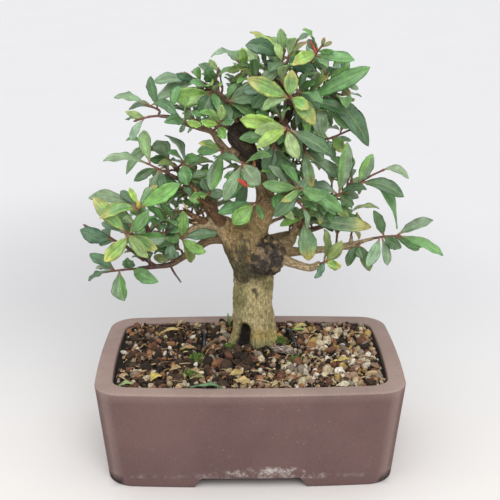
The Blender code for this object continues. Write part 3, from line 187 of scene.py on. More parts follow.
# Leafy sprays: name, the branch that bears it, its twig as seen x, z and depth y, its measured leaves
# (place along the twig, tip x and z as seen, seen width, depth of tip less depth of base, rise of the
# middle) and how many more leaves the growth rule adds
SPRAYS = [
    ("left_low_tip", "low_left", [(-78, 113.7, 14), (-91, 112, 11)],
     [(0.12, -57, 106, 8, -8, 0), (0.14, -75, 121.5, 8, -6, 0), (0.5, -78, 93, 10, -6, 0),
      (0.62, -98, 124, 8, -2, 2)], 2),
    ("left_low_mid", "low_left", [(-47, 120, 16)],
     [(0.6, -48, 129, 9, -8, 0), (0.8, -59, 122, 6, 4, 0)], 1),
    ("left_purple_tip", "purple_left", [(-84, 134, 14), (-99, 142, 14)],
     [(0.42, -103, 139.5, 10, -6, 0), (0.36, -92, 130, 3, 4, 0)], 1),
    ("left_rosette_low", "left_limb", [(-72, 136, 1.5), (-75, 137.5, -1)],
     [(0.9, -94, 160, 9, 2, 0), (0.85, -90, 144.5, 4.5, 8, 0), (0.7, -89, 119, 9, -6, 0),
      (0.6, -56, 127, 8, -10, 0), (0.8, -61, 151, 8, -6, 0), (0.5, -50, 134.5, 9, -4, 0),
      (0.95, -62, 121.5, 8, -14, 0)], 1),
    ("left_rosette_up", "left_limb_up", [(-67, 153, 1), (-67.5, 156, 0)],
     [(0.7, -78, 164, 5, 6, 1), (0.5, -42, 168, 10, -6, 0), (0.5, -97, 160, 5, 8, 2),
      (0.35, -91, 147, 6, -4, 4), (0.95, -72, 166, 4, -3, 0)], 1),
    ("left_inner", "left_limb", [(-41.5, 134, 7)],
     [(0.9, -40, 151, 8, -4, 0), (0.9, -26.5, 125, 8, -8, 0), (0.7, -19, 137, 6, -2, 0),
      (0.7, -56, 129, 4, 4, 0), (0.5, -50, 134, 5, -6, 0)], 1),
    ("left_inner_up", "left_limb", [(-50, 140.5, 7)],
     [(0.7, -42.5, 146, 6, -6, 0), (0.9, -60, 147, 5, 4, 0)], 2),
    ("left_mid_tip", "mid_left", [(-52, 186, 34), (-58, 190, 35)],
     [(0.1, -55, 195, 11, -10, 3), (0.75, -74, 174.5, 6, -4, 6), (0.3, -59, 183, 6, -10, 0)], 2),
    ("left_mid_side", "mid_left", [(-39, 181.5, 26)],
     [(0.8, -29, 184.5, 7, -6, 1.5), (0.8, -37, 167.5, 10, -8, 0)], 1),
    ("left_mid_low", "mid_left_low", [(-55, 178, 18.5), (-60, 180.5, 17)],
     [(0.45, -69, 170, 6, -6, 1), (0.35, -59, 162, 7, -6, 0), (0.25, -51, 163, 6, -10, 0),
      (0.95, -87, 184, 2.2, 2, 1)], 1),
    ("left_high_tip", "high_left", [(-59, 209, 8), (-66, 207, 7)],
     [(0.6, -72.5, 212, 4.5, -6, 0), (0.65, -70.5, 195, 4.5, -5, 0)], 1),
    ("left_high_side", "high_left", [(-53, 213, 13), (-60, 216.3, 14)],
     [(0.95, -79, 221, 4, 3, 1.5), (0.8, -41.5, 208.5, 6, -6, 4)], 2),
    ("left_high_mid", "high_left", [(-37.5, 206, 6)],
     [(0.8, -48.5, 206.5, 4.5, -4, 0), (0.7, -41, 199.5, 3, -3, 0), (0.6, -34.5, 213, 4, 2, 0),
      (0.9, -28, 204, 5, -6, 0)], 1),
    ("left_high_rosette", "high_left", [(-18.5, 203, 8), (-17, 206, 4)],
     [(0.7, -28, 206, 5, -6, 0), (0.95, -16, 216, 5.5, -6, 0), (0.5, -14, 196, 6.5, -6, 0),
      (0.8, -9, 207, 4, -3, 0), (0.9, -24, 213.5, 5, -5, 0)], 1),
    ("crown_left_big", "crown_left", [(-20, 222, 22), (-22, 223.5, 18)],
     [(0.95, -29, 209.5, 11, -8, 0), (0.8, -43.5, 219, 12, -2, 0)], 2),
    ("crown_left_tip", "crown_left", [(-29, 230.3, 27), (-33, 232, 26)],
     [(0.5, -56, 229.5, 4, -4, 0), (0.45, -55, 219, 5.5, -6, 0), (0.8, -42, 234, 5.5, -4, 0),
      (0.4, -30, 238, 3, -4, 0)], 1),
    ("crown_left_up", "crown_left", [(-20, 229, 25), (-18, 236, 22)],
     [(0.3, -25.5, 237, 8, -8, 0), (0.95, -23, 242.5, 4.5, -4, 0)], 2),
    ("top_left_tip", "top_left", [(-2, 237.5, 22), (-5, 240, 20)],
     [(0.95, -22, 244.5, 2.2, -2, 3.5), (0.5, -4, 249, 5.5, -5, 0), (0.7, -13, 236, 5, -6, 0),
      (0.3, -10, 229.5, 4, -8, 0)], 1),
    ("crown_front_left", "crown_left", [(-13, 217, 21), (-13, 218, 15)],
     [(0.95, 8, 227, 13, -4, 0)], 3),
    ("top_centre", "crown", [(19.5, 243, 17.5), (20.5, 246.5, 17)],
     [(0.3, -2, 250.5, 10, -6, 4), (0.6, 0.5, 258.5, 5, 2, 0), (0.95, 18, 260, 6, -3, 0),
      (0.65, 38, 236.5, 9, -3, 0)], 1),
    ("top_shoot", "crown", [(22, 240, 10), (23.5, 246, 8), (28, 253, 7)],
     [(0.98, 34.5, 256.8, 3.5, -3, 1), (0.5, 33, 253, 2, -3, 0)], 1),
    ("top_right_tip", "top_right", [(39, 246, 22), (42, 250, 22)],
     [(0.4, 25.5, 242.5, 6.5, -12, 0), (0.25, 61.5, 243, 5.5, -3, 0), (0.98, 43.5, 255, 2.5, -2, 0),
      (0.9, 48, 252.5, 2.5, -2, 0), (0.6, 49, 247, 4, -4, 0), (0.55, 34, 254, 4.5, 3, 0)], 1),
    ("crown_right_long", "crown_right", [(33, 219, 17)],
     [(0.9, 70.5, 238, 9, -4, 0), (0.8, 58, 211.5, 6.5, 2, 0)], 2),
    ("crown_right_tip", "crown_right", [(51, 228.5, 24), (55, 229, 23)],
     [(0.95, 63.5, 232, 4.5, -5, 0), (0.9, 64.5, 225, 3.5, 3, 0), (0.6, 57.5, 234.5, 3, -4, 0),
      (0.6, 44, 217.5, 8, 6, 0), (0.9, 59.5, 222, 3, -6, 0)], 1),
    ("crown_centre", "front_top", [(24, 219.5, -4), (24.5, 220.5, -7)],
     [(0.5, -1, 231, 10, -6, 0), (0.7, 25, 236, 8.5, -4, 0), (0.9, 35, 213.5, 7.5, -7, 0),
      (0.6, 39, 204, 10, -6, 3), (0.4, 7.5, 212.5, 7, -2, 3)], 0),
    ("crown_right_hang", "crown_right", [(42.5, 218.5, 18)],
     [(0.7, 71.5, 190.5, 12, -4, 7), (0.9, 43, 197.5, 11, -8, 0), (0.8, 59, 201.5, 7, 4, 0)], 1),
    ("mid_right_tip", "mid_right", [(50, 196.5, 24.5), (59, 200.5, 23.5)],
     [(0.25, 36, 203.5, 6.5, -6, 0), (0.35, 61, 194.5, 2.5, -2, 0), (0.35, 57.5, 187.5, 7.5, -7, 0),
      (0.2, 51, 182.5, 5, -4, 0)], 1),
    ("centre_right", "front_crown", [(22.5, 202, -7), (23, 201.5, -10)],
     [(0.9, 50, 185.5, 9, -5, 0), (0.8, 29, 183.5, 8.5, -8, 0), (0.7, 3.5, 199.5, 8.5, -4, 1),
      (0.6, 5, 190.5, 6.5, -8, 0), (0.5, -5.5, 207.5, 9.5, -3, 2)], 0),
    ("right_mid_up", "rising_right", [(54, 161, 17)],
     [(0.8, 58.5, 193.5, 9, -4, 0), (0.8, 63.5, 154.5, 8.5, -6, 0)], 2),
    ("right_purple_tip", "rising_right", [(72, 172, 15), (80, 176, 12)],
     [(0.15, 74, 186, 8, -4, 0), (0.95, 96.5, 171, 4, -4, 3), (0.2, 94, 159.5, 7.5, -6, 3),
      (0.1, 92, 139.5, 5, -2, 10)], 1),
    ("right_low_tip", "long_right", [(83, 134.5, 13), (91, 135, 10.5)],
     [(0.4, 76, 151, 6.5, -6, 0), (0.95, 112.5, 145, 5, -3, 0), (0.9, 109, 129.5, 8, -6, 0),
      (0.8, 105.5, 125.5, 6, -2, 0), (0.35, 93.5, 127, 7.5, -8, 0), (0.3, 86, 115.5, 5.5, -7, 0),
      (0.98, 120, 122.5, 4.5, -1, 0), (0.2, 73, 115, 7.5, -10, 0)], 0),
    ("right_low_knob", "long_right", [(67, 128.5, 12)],
     [(0.7, 70.5, 120, 7.5, -6, 0)], 2),
    ("right_inner_long", "rising_right", [(33, 144.5, 21)],
     [(0.8, 75, 140.5, 9, -6, 1), (0.8, 37, 119, 12, -8, 0)], 2),
    ("right_low_inner", "low_right", [(47.5, 118.5, 3)],
     [(0.8, 57, 115, 6.5, -4, 0), (0.9, 41, 107.5, 5, -6, 0), (0.6, 48.5, 139.5, 4.5, -2, 0),
      (0.9, 57, 131.5, 7.5, 2, 0), (0.7, 57, 125, 4, 6, 0)], 0),
    ("mid_right_front", "front_right", [(30.5, 165, -11), (31, 165.5, -16)],
     [(0.7, 8, 168, 7.5, -3, 0), (0.9, 57, 150, 9, -4, 2), (0.95, 46, 160, 9, -6, 0),
      (0.75, 15, 147.5, 9, -6, 0), (0.85, 20, 157, 5, -5, 0)], 1),
    ("mid_centre_front", "front_centre", [(-3.5, 180.5, -14), (-4, 181, -19)],
     [(0.95, 6, 167.5, 11, -8, 0), (0.8, 3, 165.5, 8, -2, 0), (0.7, -15, 157.5, 8, -3, 0)], 2),
    ("mid_left_front", "high_left", [(-16, 188, 9)],
     [(0.8, -23, 164, 9, -7, 0), (0.7, -31, 188, 7, 4, 1)], 1),
    ("crotch_front", "crown", [(6, 157, 5), (3, 156, 0)],
     [(0.95, -9.5, 142.5, 11, -5, 0), (0.85, -19, 150, 7, -4, 0), (0.9, 8.5, 145.5, 3.5, -8, 0)], 0),
    ("mid_right_hang", "mid_right", [(33, 188, 18)],
     [(0.8, 38, 165.5, 7.5, -8, 0), (0.9, 57.5, 171, 6, -3, 0)], 1),
    ("mid_centre_hang", "crown", [(15, 197, 14), (15, 191, 9)],
     [(0.9, 14, 167.5, 8, -5, 0), (0.85, 9, 174.5, 6, -2, 0), (0.8, 27, 169.5, 9, 3, 0)], 1),
    ("back_left_low_tip", "back_left_low", [(-52, 150, 62)], [], 6),
    ("back_left_low_side", "back_left_low", [(-30, 151, 57)], [], 6),
    ("back_right_low_tip", "back_right_low", [(56, 146, 63)], [], 6),
    ("back_right_low_side", "back_right_low", [(36, 147, 57)], [], 6),
    ("back_mid_tip", "back_mid", [(32, 185, 60)], [], 6),
    ("back_mid_side", "back_mid", [(12, 184, 53)], [], 5),
    ("back_high_tip", "back_high", [(-20, 209, 55)], [], 6),
    ("back_high_side", "back_high", [(-3, 208, 45)], [], 5),
    ("back_top_tip", "back_top", [(13, 234, 50)], [], 6),
    ("back_right_high", "crown_right", [(40, 214, 36), (44, 216, 44)], [], 5),
    ("back_left_mid", "mid_left", [(-36, 176, 42), (-38, 180, 50)], [], 5),
    ("back_top_right", "top_right", [(34, 236, 32), (38, 238, 41)], [], 5),
]

# The front view, and the room that leaves keep
VIEW_POINT = np.array([-9.3, -591.7, 323.7])
FRONT_PLANE = 10.0
UP = np.array([0.0, 0.0, 1.0])
TO_VIEWER = np.array([0.0, -1.0, 0.0])
TWIG_GAP = 0.35
TIP_LEAN = 0.6
LEAST_SQUARE = 0.45
TWIG_RADIUS = 0.85
TWIG_TIP_RADIUS = 0.6
LEAF_SAMPLE = 1.6
LEAF_CLEARANCE = 2.7
OWN_CLEARANCE = 2.2
SHARED_SHARE = 0.4
WOOD_CLEARANCE = 1.6
WIDTH_OVER_LENGTH = 0.32
LONG_LEAF = 30.0
SLIM_SHARE = 0.75
DEPTH_SHIFTS = (0, -3, 3, -6, 6, -9, 9, -12, 12, -15, 15, -18, 18)
VIEW_TURNS = (0, 0.1, -0.1, 0.2, -0.2)
GROWTH_TRIES = 14
SEED = 26

# Leaves of the growth rule: those beside measured leaves, and those of the hidden sprays
RULE_ALONG = (0.3, 1.0)
RULE_LENGTH = (13, 22)
RULE_BACK = 0.45
HIDDEN_PAIR_STEP = 0.3
HIDDEN_LENGTH = (17, 27)
HIDDEN_BACK = 0.2
RULE_RATIO = (0.34, 0.42)
RULE_OPENING = (42, 66)
RULE_TURN_JITTER = 0.3
RULE_RISE_SHARE = 0.06
RULE_FACE = (0.8, 0.5, 0.25)
ALONG_FACE_LIMIT = 0.93
TRY_TURN = 37
TRY_OPENINGS = (0, 14, -14)
SHORT_FROM_TRY = 8
SHORT_SHARE = 0.8

# Leaf blade: its outline, its bend and how finely it is cut up
STALK_SHARE = 0.1
OUTLINE_SWELL = 0.72
OUTLINE_FULLNESS = 2.4
OUTLINE_TAPER = 0.82
OUTLINE_PEAK = 0.522
BLADE_FOLD = 0.22
BLADE_BOW = 0.05
BLADE_MESH = (15, 8)
SPUR_BLADE_MESH = (10, 6)
BLADE_THICKNESS = 0.36
RIB_HEIGHT = 0.3
STALK_HALF = 0.5
# All leaf colours are raised by this share, painted light that stands in for light shining through the leaves
LEAF_PAINTED_TRANSLUCENCY = 1.14
FORM_SEED = 41

# Leaf kinds: colours of the side that faces the front view, of the other side, of the margin and of the
# tip, as eight-bit display colours, and how far the halves fold up
LEAF_KINDS = {
    "dark": ((76, 112, 70), (118, 144, 110), None, None, 0.3),
    "mid": ((98, 146, 82), (132, 160, 118), None, None, 0.28),
    "bright": ((120, 172, 82), (144, 172, 122), None, None, 0.26),
    "light": ((150, 182, 116), (152, 176, 130), None, None, 0.28),
    "young": ((146, 186, 88), (160, 186, 108), None, None, 0.34),
    "lime": ((146, 184, 90), (156, 186, 112), (186, 198, 92), (198, 194, 102), 0.26),
    "grey": ((122, 152, 116), (90, 128, 78), None, None, 0.22),
    "blue": ((84, 120, 90), (122, 148, 122), None, None, 0.3),
    "olive": ((122, 144, 78), (140, 156, 110), None, None, 0.34),
    "edged": ((108, 154, 82), (142, 166, 116), (180, 190, 96), (194, 186, 104), 0.28),
    "tipped": ((112, 150, 102), (132, 156, 116), None, (200, 184, 96), 0.3),
    "split": ((104, 154, 76), (138, 166, 128), None, None, 0.6),
    "ruddy": ((124, 144, 84), (142, 150, 102), (180, 128, 82), (190, 120, 78), 0.4),
    "orange": ((196, 134, 78), (192, 138, 92), None, (212, 148, 88), 0.4),
    "coral": ((226, 112, 100), (220, 126, 110), None, (230, 112, 98), 0.4),
}
RULE_KINDS = [("mid", 0.31), ("dark", 0.27), ("bright", 0.1), ("grey", 0.1), ("olive", 0.08),
              ("edged", 0.06), ("light", 0.05), ("tipped", 0.03)]

# Short leafy spurs that fill the crown: how many, their sizes and their room, the wood that bears none,
# the crown's edge as seen, and the windows as seen (x from and to, z from and to) where wood stays bare
SPUR_SEED = 73
SPUR_COUNT = 190
SPUR_TRIES = 4200
SPUR_LENGTH = (3.0, 10.0)
SPUR_LEAVES = (2, 5)
SPUR_LEAF_LENGTH = (9.0, 20.0)
SPUR_RATIO = (0.38, 0.54)
SPUR_OPENING = (22.0, 64.0)
SPUR_LEAF_TRIES = 7
SPUR_PAIR_STEP = 0.4
SPUR_ROOM = {"wood": 0.8, "leaf": 1.0, "own": 0.9}
SPUR_DEPTHS = (-24.0, 62.0)
SPURLESS = ("trunk", "burl", "stub_high", "stub_front", "stub_left", "bare_twig", "twist_strand")
CROWN_EDGE = [(-41, 233), (-26, 241), (-20, 247), (1, 254), (29, 251), (56, 241), (60, 222), (67, 204),
              (60, 189), (74, 167), (62, 155), (75, 137), (50, 138), (31, 140), (8, 142), (-9, 155),
              (-27, 130), (-61, 119), (-91, 127), (-93, 155), (-72, 161), (-53, 183), (-14, 186),
              (-11, 202), (-29, 202), (-49, 212), (-52, 225)]
BARE_WINDOWS = [(-13, 11, 177, 207), (-4, 17, 134, 172), (-42, -8, 128, 152), (-14, 24, 90, 142)]

# Spurs at named places: limb, twig's tip as seen x, z and depth y, leaves as in the sprays, and kinds
NAMED_SPURS = [
    ("crown", (-1, 170, 13), [(0.95, -17, 160, 8, 3, 0), (0.8, -7, 152, 7, 5, 0), (0.5, -14, 172, 7, -1, 0)],
     "mid dark olive"),
    ("stub_high", (-24, 162, 17), [(0.95, -36, 158, 8, -3, 0), (0.9, -28, 172, 7, 2, 0),
                                   (0.6, -15, 163, 7, -2, 0)], "bright dark grey"),
    ("crown_right", (47, 226, 20), [(0.9, 60, 240, 7, 2, 0), (0.6, 54, 246, 7, -2, 0)], "mid bright"),
    ("top_right", (36, 240, 26), [(0.8, 24, 247, 7, 4, 0), (0.9, 45, 240, 7, 6, 0)], "dark mid"),
    ("crown", (10, 225, 6), [(0.9, 2, 214, 8, -1, 0), (0.8, 14, 212, 8, 2, 0), (0.6, -4, 224, 7, 0, 0)],
     "dark mid blue"),
]
SPUR_VIEW_TRIES = 40

# Colours of stalks, of a split leaf's pale half, and of a leaf's dust with its painted sheen, veins and rib
STALK_TINT = (156, 104, 76)
SPLIT_TINT = (132, 160, 124)
DUST_AND_SHEEN_TINT = (176, 196, 172)
VEIN_TINT = (176, 196, 136)
RIB_TINT = (178, 194, 128)

# How one leaf bends: the ranges that each value is drawn from, in the order of the draws
BLADE_BEND = {"fold": (0.6, 1.5), "wave": (0.08, 0.24), "waves": (1.6, 3.4),
              "left_phase": (0, 2 * math.pi), "right_phase": (0, 2 * math.pi), "twist": (-0.6, 0.6),
              "curl": (-0.1, 0.34), "sickle": (-0.035, 0.035), "ripple": (0.02, 0.07)}

# Twigs: colours from root to tip, sides, how far they start inside the bark, their swollen nodes, and
# the bud as steps past the tip and radii
TWIG_TINTS = ((116, 94, 90), (148, 108, 96))
TWIG_SIDES = 9
TWIG_ROOT = 1.4
NODE_SWELL = 0.22
NODE_WAVES = 21
BUD_STEPS = ((0.7, 0.85), (1.6, 0.6), (2.4, 0.12))
TWIG_SLOT = 1

# Kinds of the measured leaves, in their order on each spray
SPRAY_KINDS = {
    "left_low_tip": "mid dark split blue", "left_low_mid": "grey olive", "left_purple_tip": "blue dark",
    "left_rosette_low": "edged grey lime edged mid split olive",
    "left_rosette_up": "blue bright grey edged young", "left_inner": "bright bright dark dark mid",
    "left_inner_up": "dark mid", "left_mid_tip": "grey grey dark", "left_mid_side": "mid mid",
    "left_mid_low": "dark grey dark grey", "left_high_tip": "light grey", "left_high_side": "grey dark",
    "left_high_mid": "dark dark dark young", "left_high_rosette": "young light bright mid light",
    "crown_left_big": "dark young", "crown_left_tip": "grey grey blue bright",
    "crown_left_up": "dark light", "top_left_tip": "grey young olive olive", "crown_front_left": "grey",
    "top_centre": "blue lime light blue", "top_shoot": "grey ruddy",
    "top_right_tip": "lime mid ruddy ruddy mid grey", "crown_right_tip": "ruddy grey orange grey ruddy",
    "crown_right_long": "mid dark", "crown_centre": "edged edged edged edged light",
    "crown_right_hang": "dark grey mid", "mid_right_tip": "light grey edged grey",
    "centre_right": "dark light light young young", "right_mid_up": "split dark",
    "right_purple_tip": "split grey dark mid", "right_low_tip": "dark grey mid mid dark grey mid grey",
    "right_low_knob": "dark", "right_inner_long": "tipped tipped",
    "right_low_inner": "lime blue olive olive grey", "mid_right_front": "mid mid mid dark edged",
    "mid_centre_front": "grey bright grey", "mid_left_front": "split mid",
    "crotch_front": "bright mid mid", "mid_right_hang": "tipped grey",
    "mid_centre_hang": "grey dark dark",
}

# Bark: voxel of the joined wood, relief and colours
BARK_VOXEL = 0.62
BARK_SMOOTHING = 2
BARK_STRETCH = 0.42
BARK_RELIEF = 0.42
BURL_RELIEF = 1.9
BARK_TINTS = {
    "trunk": (206, 190, 142), "crotch": (184, 158, 114), "burl": (80, 74, 69), "crown_low": (156, 132, 98),
    "crown_high": (76, 66, 58), "crown_tip": (124, 104, 86), "limb": (166, 142, 112), "stub": (130, 100, 74),
    "thin": (122, 96, 90), "light_limb": (204, 180, 144),
}
CROWN_STEPS = (("crown_low", 140, 165), ("crown_high", 172, 186), ("crown_tip", 206, 224))
CROTCH_FADE = (104, 130)
BARK_MOSS_TINT = (122, 124, 78)
TRUNK_GREEN = (124, 128, 76)
TRUNK_FOOT_GREEN = (112, 120, 62)
LIGHT_LIMBS = ("low_right", "long_right", "knob_up", "knob_down", "rising_right", "cross_twig", "left_limb")
HOLLOW_ANGLE = -2.0
HOLLOW_WIDTH = 0.36
HOLLOW_DEPTH = 3.6
HOLLOW_TOP = 78.6
# Painted shade in the hollow between two roots
HOLLOW_SHADE_TINT = (34, 28, 25)
BURL_LOBES = [(2.5, 14, 117, 6.4), (15, 16, 116, 6.8), (5, 14, 127, 6.0), (12.5, 16, 127.5, 6.0),
              (-0.5, 14, 121.5, 5.6), (17.5, 17, 122.5, 5.6), (8, 8, 117.5, 5.4), (11, 9, 125, 5.0)]

# Patches on the bark's front: x and z as seen, reach in x and z, and colour
BARK_PATCHES = [
    (-10.4, 137.8, 8, 5, (182, 152, 106)), (-3.7, 123.5, 5, 10, (80, 74, 62)),
    (1.8, 110.5, 14, 4.5, (78, 74, 56)), (-13.5, 117.5, 5, 11, (92, 86, 66)),
    (29.5, 139.7, 5, 10, (184, 162, 118)), (26.4, 126, 5, 7, (182, 156, 112)),
    (0.6, 120.2, 2.4, 2, (176, 128, 88)), (3.3, 99.4, 1.7, 2, (58, 50, 42)),
    (4.6, 96.2, 1, 2.6, (84, 74, 56)), (-3.5, 112.5, 13, 7, (96, 90, 68)),
    (-3.8, 106.8, 3, 3, (84, 74, 58)), (5, 69, 6, 4, (204, 182, 116)),
    (15.1, 69.6, 5, 4, (204, 182, 116)), (-11.4, 71.1, 4, 4, (204, 182, 116)),
    (9.1, 149.2, 4, 9, (182, 154, 112)), (9, 88, 5, 7, (206, 190, 140)),
    (-6, 95, 4, 8, (148, 144, 98)), (11, 103, 4, 5, (144, 136, 92)), (1.5, 196, 4, 6, (120, 106, 74)),
    (-4.5, 202, 4, 5, (52, 44, 40)),
]
SPLINTER_LINES = ("stub_high", "stub_front", "stub_left")
SPLINTER_TINTS = ((112, 84, 62), (70, 52, 42), (196, 164, 118), (150, 108, 72))
STUB_SPLINTERS = 34
BURL_SPLINTERS = 18

# Soil cover: grain sizes, how many of each for the whole bed, and their colours with how often each comes
# in the dark part on the left and in the light part on the right
GRAIN_SIZES = {
    "grains_fine": (1.0, 2.2, 2300, 1),
    "grains_middle": (2.5, 4.4, 1120, 2),
    "grains_large": (4.6, 6.8, 190, 3),
}
GRAIN_TINTS = [
    ((208, 192, 160), 0.03, 0.17), ((180, 156, 120), 0.06, 0.17), ((154, 110, 78), 0.08, 0.11),
    ((118, 82, 64), 0.12, 0.1), ((140, 128, 114), 0.05, 0.1), ((186, 172, 152), 0.02, 0.09),
    ((222, 214, 200), 0.015, 0.06), ((76, 60, 48), 0.3, 0.09), ((50, 41, 34), 0.29, 0.05),
    ((180, 150, 92), 0.02, 0.05), ((164, 134, 116), 0.03, 0.04),
]
LIGHT_SIDE_SHARE = 0.86
SOIL_TINT = (36, 30, 26)
SOIL_ROWS = 70
SOIL_TURNS = 380
GRAIN_SEED = 17
SLIVERS = 330
SLIVER_TINTS = ((190, 160, 112), (128, 92, 66), (82, 62, 50), (206, 186, 140))
DARK_MIDDLE = (0.0, 12.0)
DARK_REACH = 24.0
DARK_DEPTH = 0.8
LIGHT_SPAN = (-22, 50)
FRONT_LIGHT = 0.35
FRONT_LIGHT_SPAN = (12, 40)
MOSS_TINT = (92, 116, 48)
MOSS_CORE = 0.75
MOSS = [(-33.1, -5.7, 5.0, 7.0, 230), (-37.1, -27.7, 4.5, 4.0, 110), (-39.0, 8.0, 4.0, 3.5, 60),
        (20.5, 16.0, 4.5, 4.0, 140), (28.0, -9.0, 3.5, 3.6, 120), (-12.0, 8.0, 3.0, 3.0, 50)]

# Things dropped on the soil: x, y, length, width, turn and colour
FALLEN = [
    (-25.8, -49.5, 19, 7, -4, (98, 140, 96)), (-56.3, -35.8, 9, 7, 60, (214, 188, 98)),
    (-72.7, -45.0, 8, 6, 10, (150, 168, 112)), (-8.4, -32.4, 9, 7, 20, (200, 170, 104)),
    (-5.0, -42.1, 11, 7, -30, (194, 164, 108)), (-45.1, -23.3, 8, 5, 35, (190, 160, 112)),
    (-31.5, -36.2, 9, 5, 15, (140, 142, 84)), (14.8, -45.2, 8, 5, 50, (196, 176, 132)),
    (20.4, -49.0, 7, 4, -20, (176, 150, 112)), (33.7, 35.0, 9, 6, 30, (196, 184, 96)),
    (32.3, 29.8, 8, 4, -10, (160, 176, 84)), (40.3, 24.9, 10, 4, -35, (190, 156, 104)),
    (55.4, -13.2, 13, 5, 20, (206, 184, 96)), (53.7, -47.0, 8, 5, 10, (214, 202, 172)),
    (75.2, -20.9, 10, 4, -60, (142, 106, 78)), (-51.3, 31.5, 13, 4, 25, (208, 180, 108)),
    (-39.1, 5.2, 9, 6, 10, (170, 130, 92)), (-45, 44, 10, 3, 70, (190, 164, 110)),
]

# Roots and sticks on the soil: course in x and y, radius at both ends, and colour
ROOTS = [
    ([(-12, 22), (-17.3, 20.9), (-25, 13), (-30.9, 5.1)], (1.7, 0.7), (128, 110, 84)),
    ([(-78.7, 5.8), (-70, 3.5), (-62, 0), (-53.6, -3.9)], (1.3, 1.6), (108, 80, 62)),
    ([(-60, 29), (-50, 34), (-45, 40)], (0.9, 0.5), (190, 158, 104)),
    ([(30, 16), (42, 12), (52, 6)], (0.5, 0.4), (176, 152, 108)),
    ([(-24, 18), (-12, 9), (-2, 4)], (0.8, 0.4), (98, 78, 60)),
]

# Two short posts at the back of the soil
POSTS = [(27.7, 40.5), (44.6, 40.2)]
POST_TOP = 65.4
POST_RADIUS = 1.4
POST_TINT = (66, 52, 44)

# Pot finish
POT_TURNS = 240
CLAY_TINT = (111, 87, 85)
# Painted highlight, on the top of the rim where it faces the light and down the rounded corners
CLAY_PAINTED_HIGHLIGHT_TINT = (160, 138, 130)
# Painted shade on the inner wall below the rim
INNER_WALL_SHADE_TINT = (98, 84, 77)
# A painted highlight down each rounded corner: its turn round the corner in degrees, its reach and its
# strength
CORNER_HIGHLIGHT_TURN = 40
CORNER_HIGHLIGHT_REACH = 11
CORNER_HIGHLIGHT_SHARE = 0.5
# Painted shade on the underside of the pot, between its feet
POT_UNDERSIDE_SHADE_TINT = (48, 40, 38)
FLECK_TINT = (196, 180, 168)
LIME_TINT = (206, 200, 196)
LIP_STEPS = 6
FOOT_BEVEL = 0.7

# Wire, net and chip
WIRE_TINT = (70, 74, 80)
NET_TINT = (26, 26, 27)
CHIP_TINT = (200, 186, 174)
CHIP_DARK_TINT = (86, 68, 60)

# Buds and young red shoots: foot and tip as seen x, z and depth y, radius and colour
SHOOTS = [
    ((3, 171, 0), (-0.3, 166.8, -18.5), 0.7, (128, 96, 80)),
    ((-0.3, 166.8, -17.5), (-7.2, 171.1, -31), 1.15, (238, 88, 80)),
    ((38.8, 246, 21.5), (35, 253.6, 18), 0.8, (222, 104, 96)),
    ((-34, 231.8, 26), (-38, 235.5, 23), 1.1, (214, 128, 64)),
    ((-66.5, 153, 1), (-67.5, 158.5, -1), 1.2, (206, 190, 96)),
    ((-59, 190, 35), (-60.5, 193, 34), 0.9, (70, 48, 52)),
    ((3, 178, -12), (3, 183, -15), 0.8, (196, 132, 92)),
    ((-12.2, 76.5, 9), (-13.4, 85, 7), 0.8, (104, 134, 66)),
]

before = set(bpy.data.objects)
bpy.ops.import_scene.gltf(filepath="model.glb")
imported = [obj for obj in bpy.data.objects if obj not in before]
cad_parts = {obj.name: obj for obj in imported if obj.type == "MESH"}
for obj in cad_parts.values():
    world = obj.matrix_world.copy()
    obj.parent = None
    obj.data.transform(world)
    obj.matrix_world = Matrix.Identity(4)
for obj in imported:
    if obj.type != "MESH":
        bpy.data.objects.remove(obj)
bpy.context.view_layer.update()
POT_LOW, POT_HIGH = (np.array(corner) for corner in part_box("pot"))
SHIFT = np.array([(POT_LOW[0] + POT_HIGH[0]) / 2, (POT_LOW[1] + POT_HIGH[1]) / 2, 0.0])


def unit(vector):
    return vector / np.linalg.norm(vector)


def round_angles(count):
    """Even angles of one whole turn."""
    return 2 * math.pi * np.arange(count) / count


def passed_lengths(line):
    """The length of a bent line up to each of its points."""
    return np.concatenate(([0.0], np.cumsum(np.linalg.norm(np.diff(line, axis=0), axis=1))))


def side_of(step):
    """A level direction square to a step, or any square one where the step is steep."""
    return unit(np.cross(step, UP) if abs(step[2]) < 0.9 else np.cross(step, TO_VIEWER))


def radius_on(radii, index, fraction):
    """A limb's radius at a fraction of one of its segments."""
    return radii[index] + (radii[index + 1] - radii[index]) * fraction


def swell(points, waves, scale=1.0):
    """How far waves push the points of a ball out or in, about 1."""
    return 1 + sum(depth * np.sin(points @ np.array(turns) * scale + phase)
                   for depth, turns, phase in waves)


def seen(x, z, y):
    """The true place of a point seen at x, z on the front plane that lies at depth y."""
    on_plane = np.array([x, FRONT_PLANE, z], float)
    reach = (y - VIEW_POINT[1]) / (FRONT_PLANE - VIEW_POINT[1])
    return VIEW_POINT + (on_plane - VIEW_POINT) * reach


# Growth: where wood, twigs and leaves lie


def wood_lines():
    """Each piece of wood as its centre points and radii."""
    lines = {"trunk": (np.array([row[:3] for row in TRUNK], float), np.array([row[3] for row in TRUNK]))}
    burl = np.array([BURL_CENTRE, BURL_CENTRE], float)
    burl[1, 1] += 0.1
    lines["burl"] = (burl, np.array([BURL_RADIUS, BURL_RADIUS]))
    for name, points in WOOD.items():
        places = np.array([seen(x, z, y) for x, z, y, _ in points])
        lines[name] = (places, np.array([radius for _, _, _, radius in points], float))
    return lines


def nearest_on_line(point, points):
    """The gap, segment, fraction and place of a bent line's nearest point."""
    best = None
    for index in range(len(points) - 1):
        start, run = points[index], points[index + 1] - points[index]
        fraction = float(np.clip(np.dot(point - start, run) / np.dot(run, run), 0, 1))
        place = start + run * fraction
        gap = np.linalg.norm(point - place)
        if best is None or gap < best[0] - 1e-9:
            best = (gap, index, fraction, place)
    return best


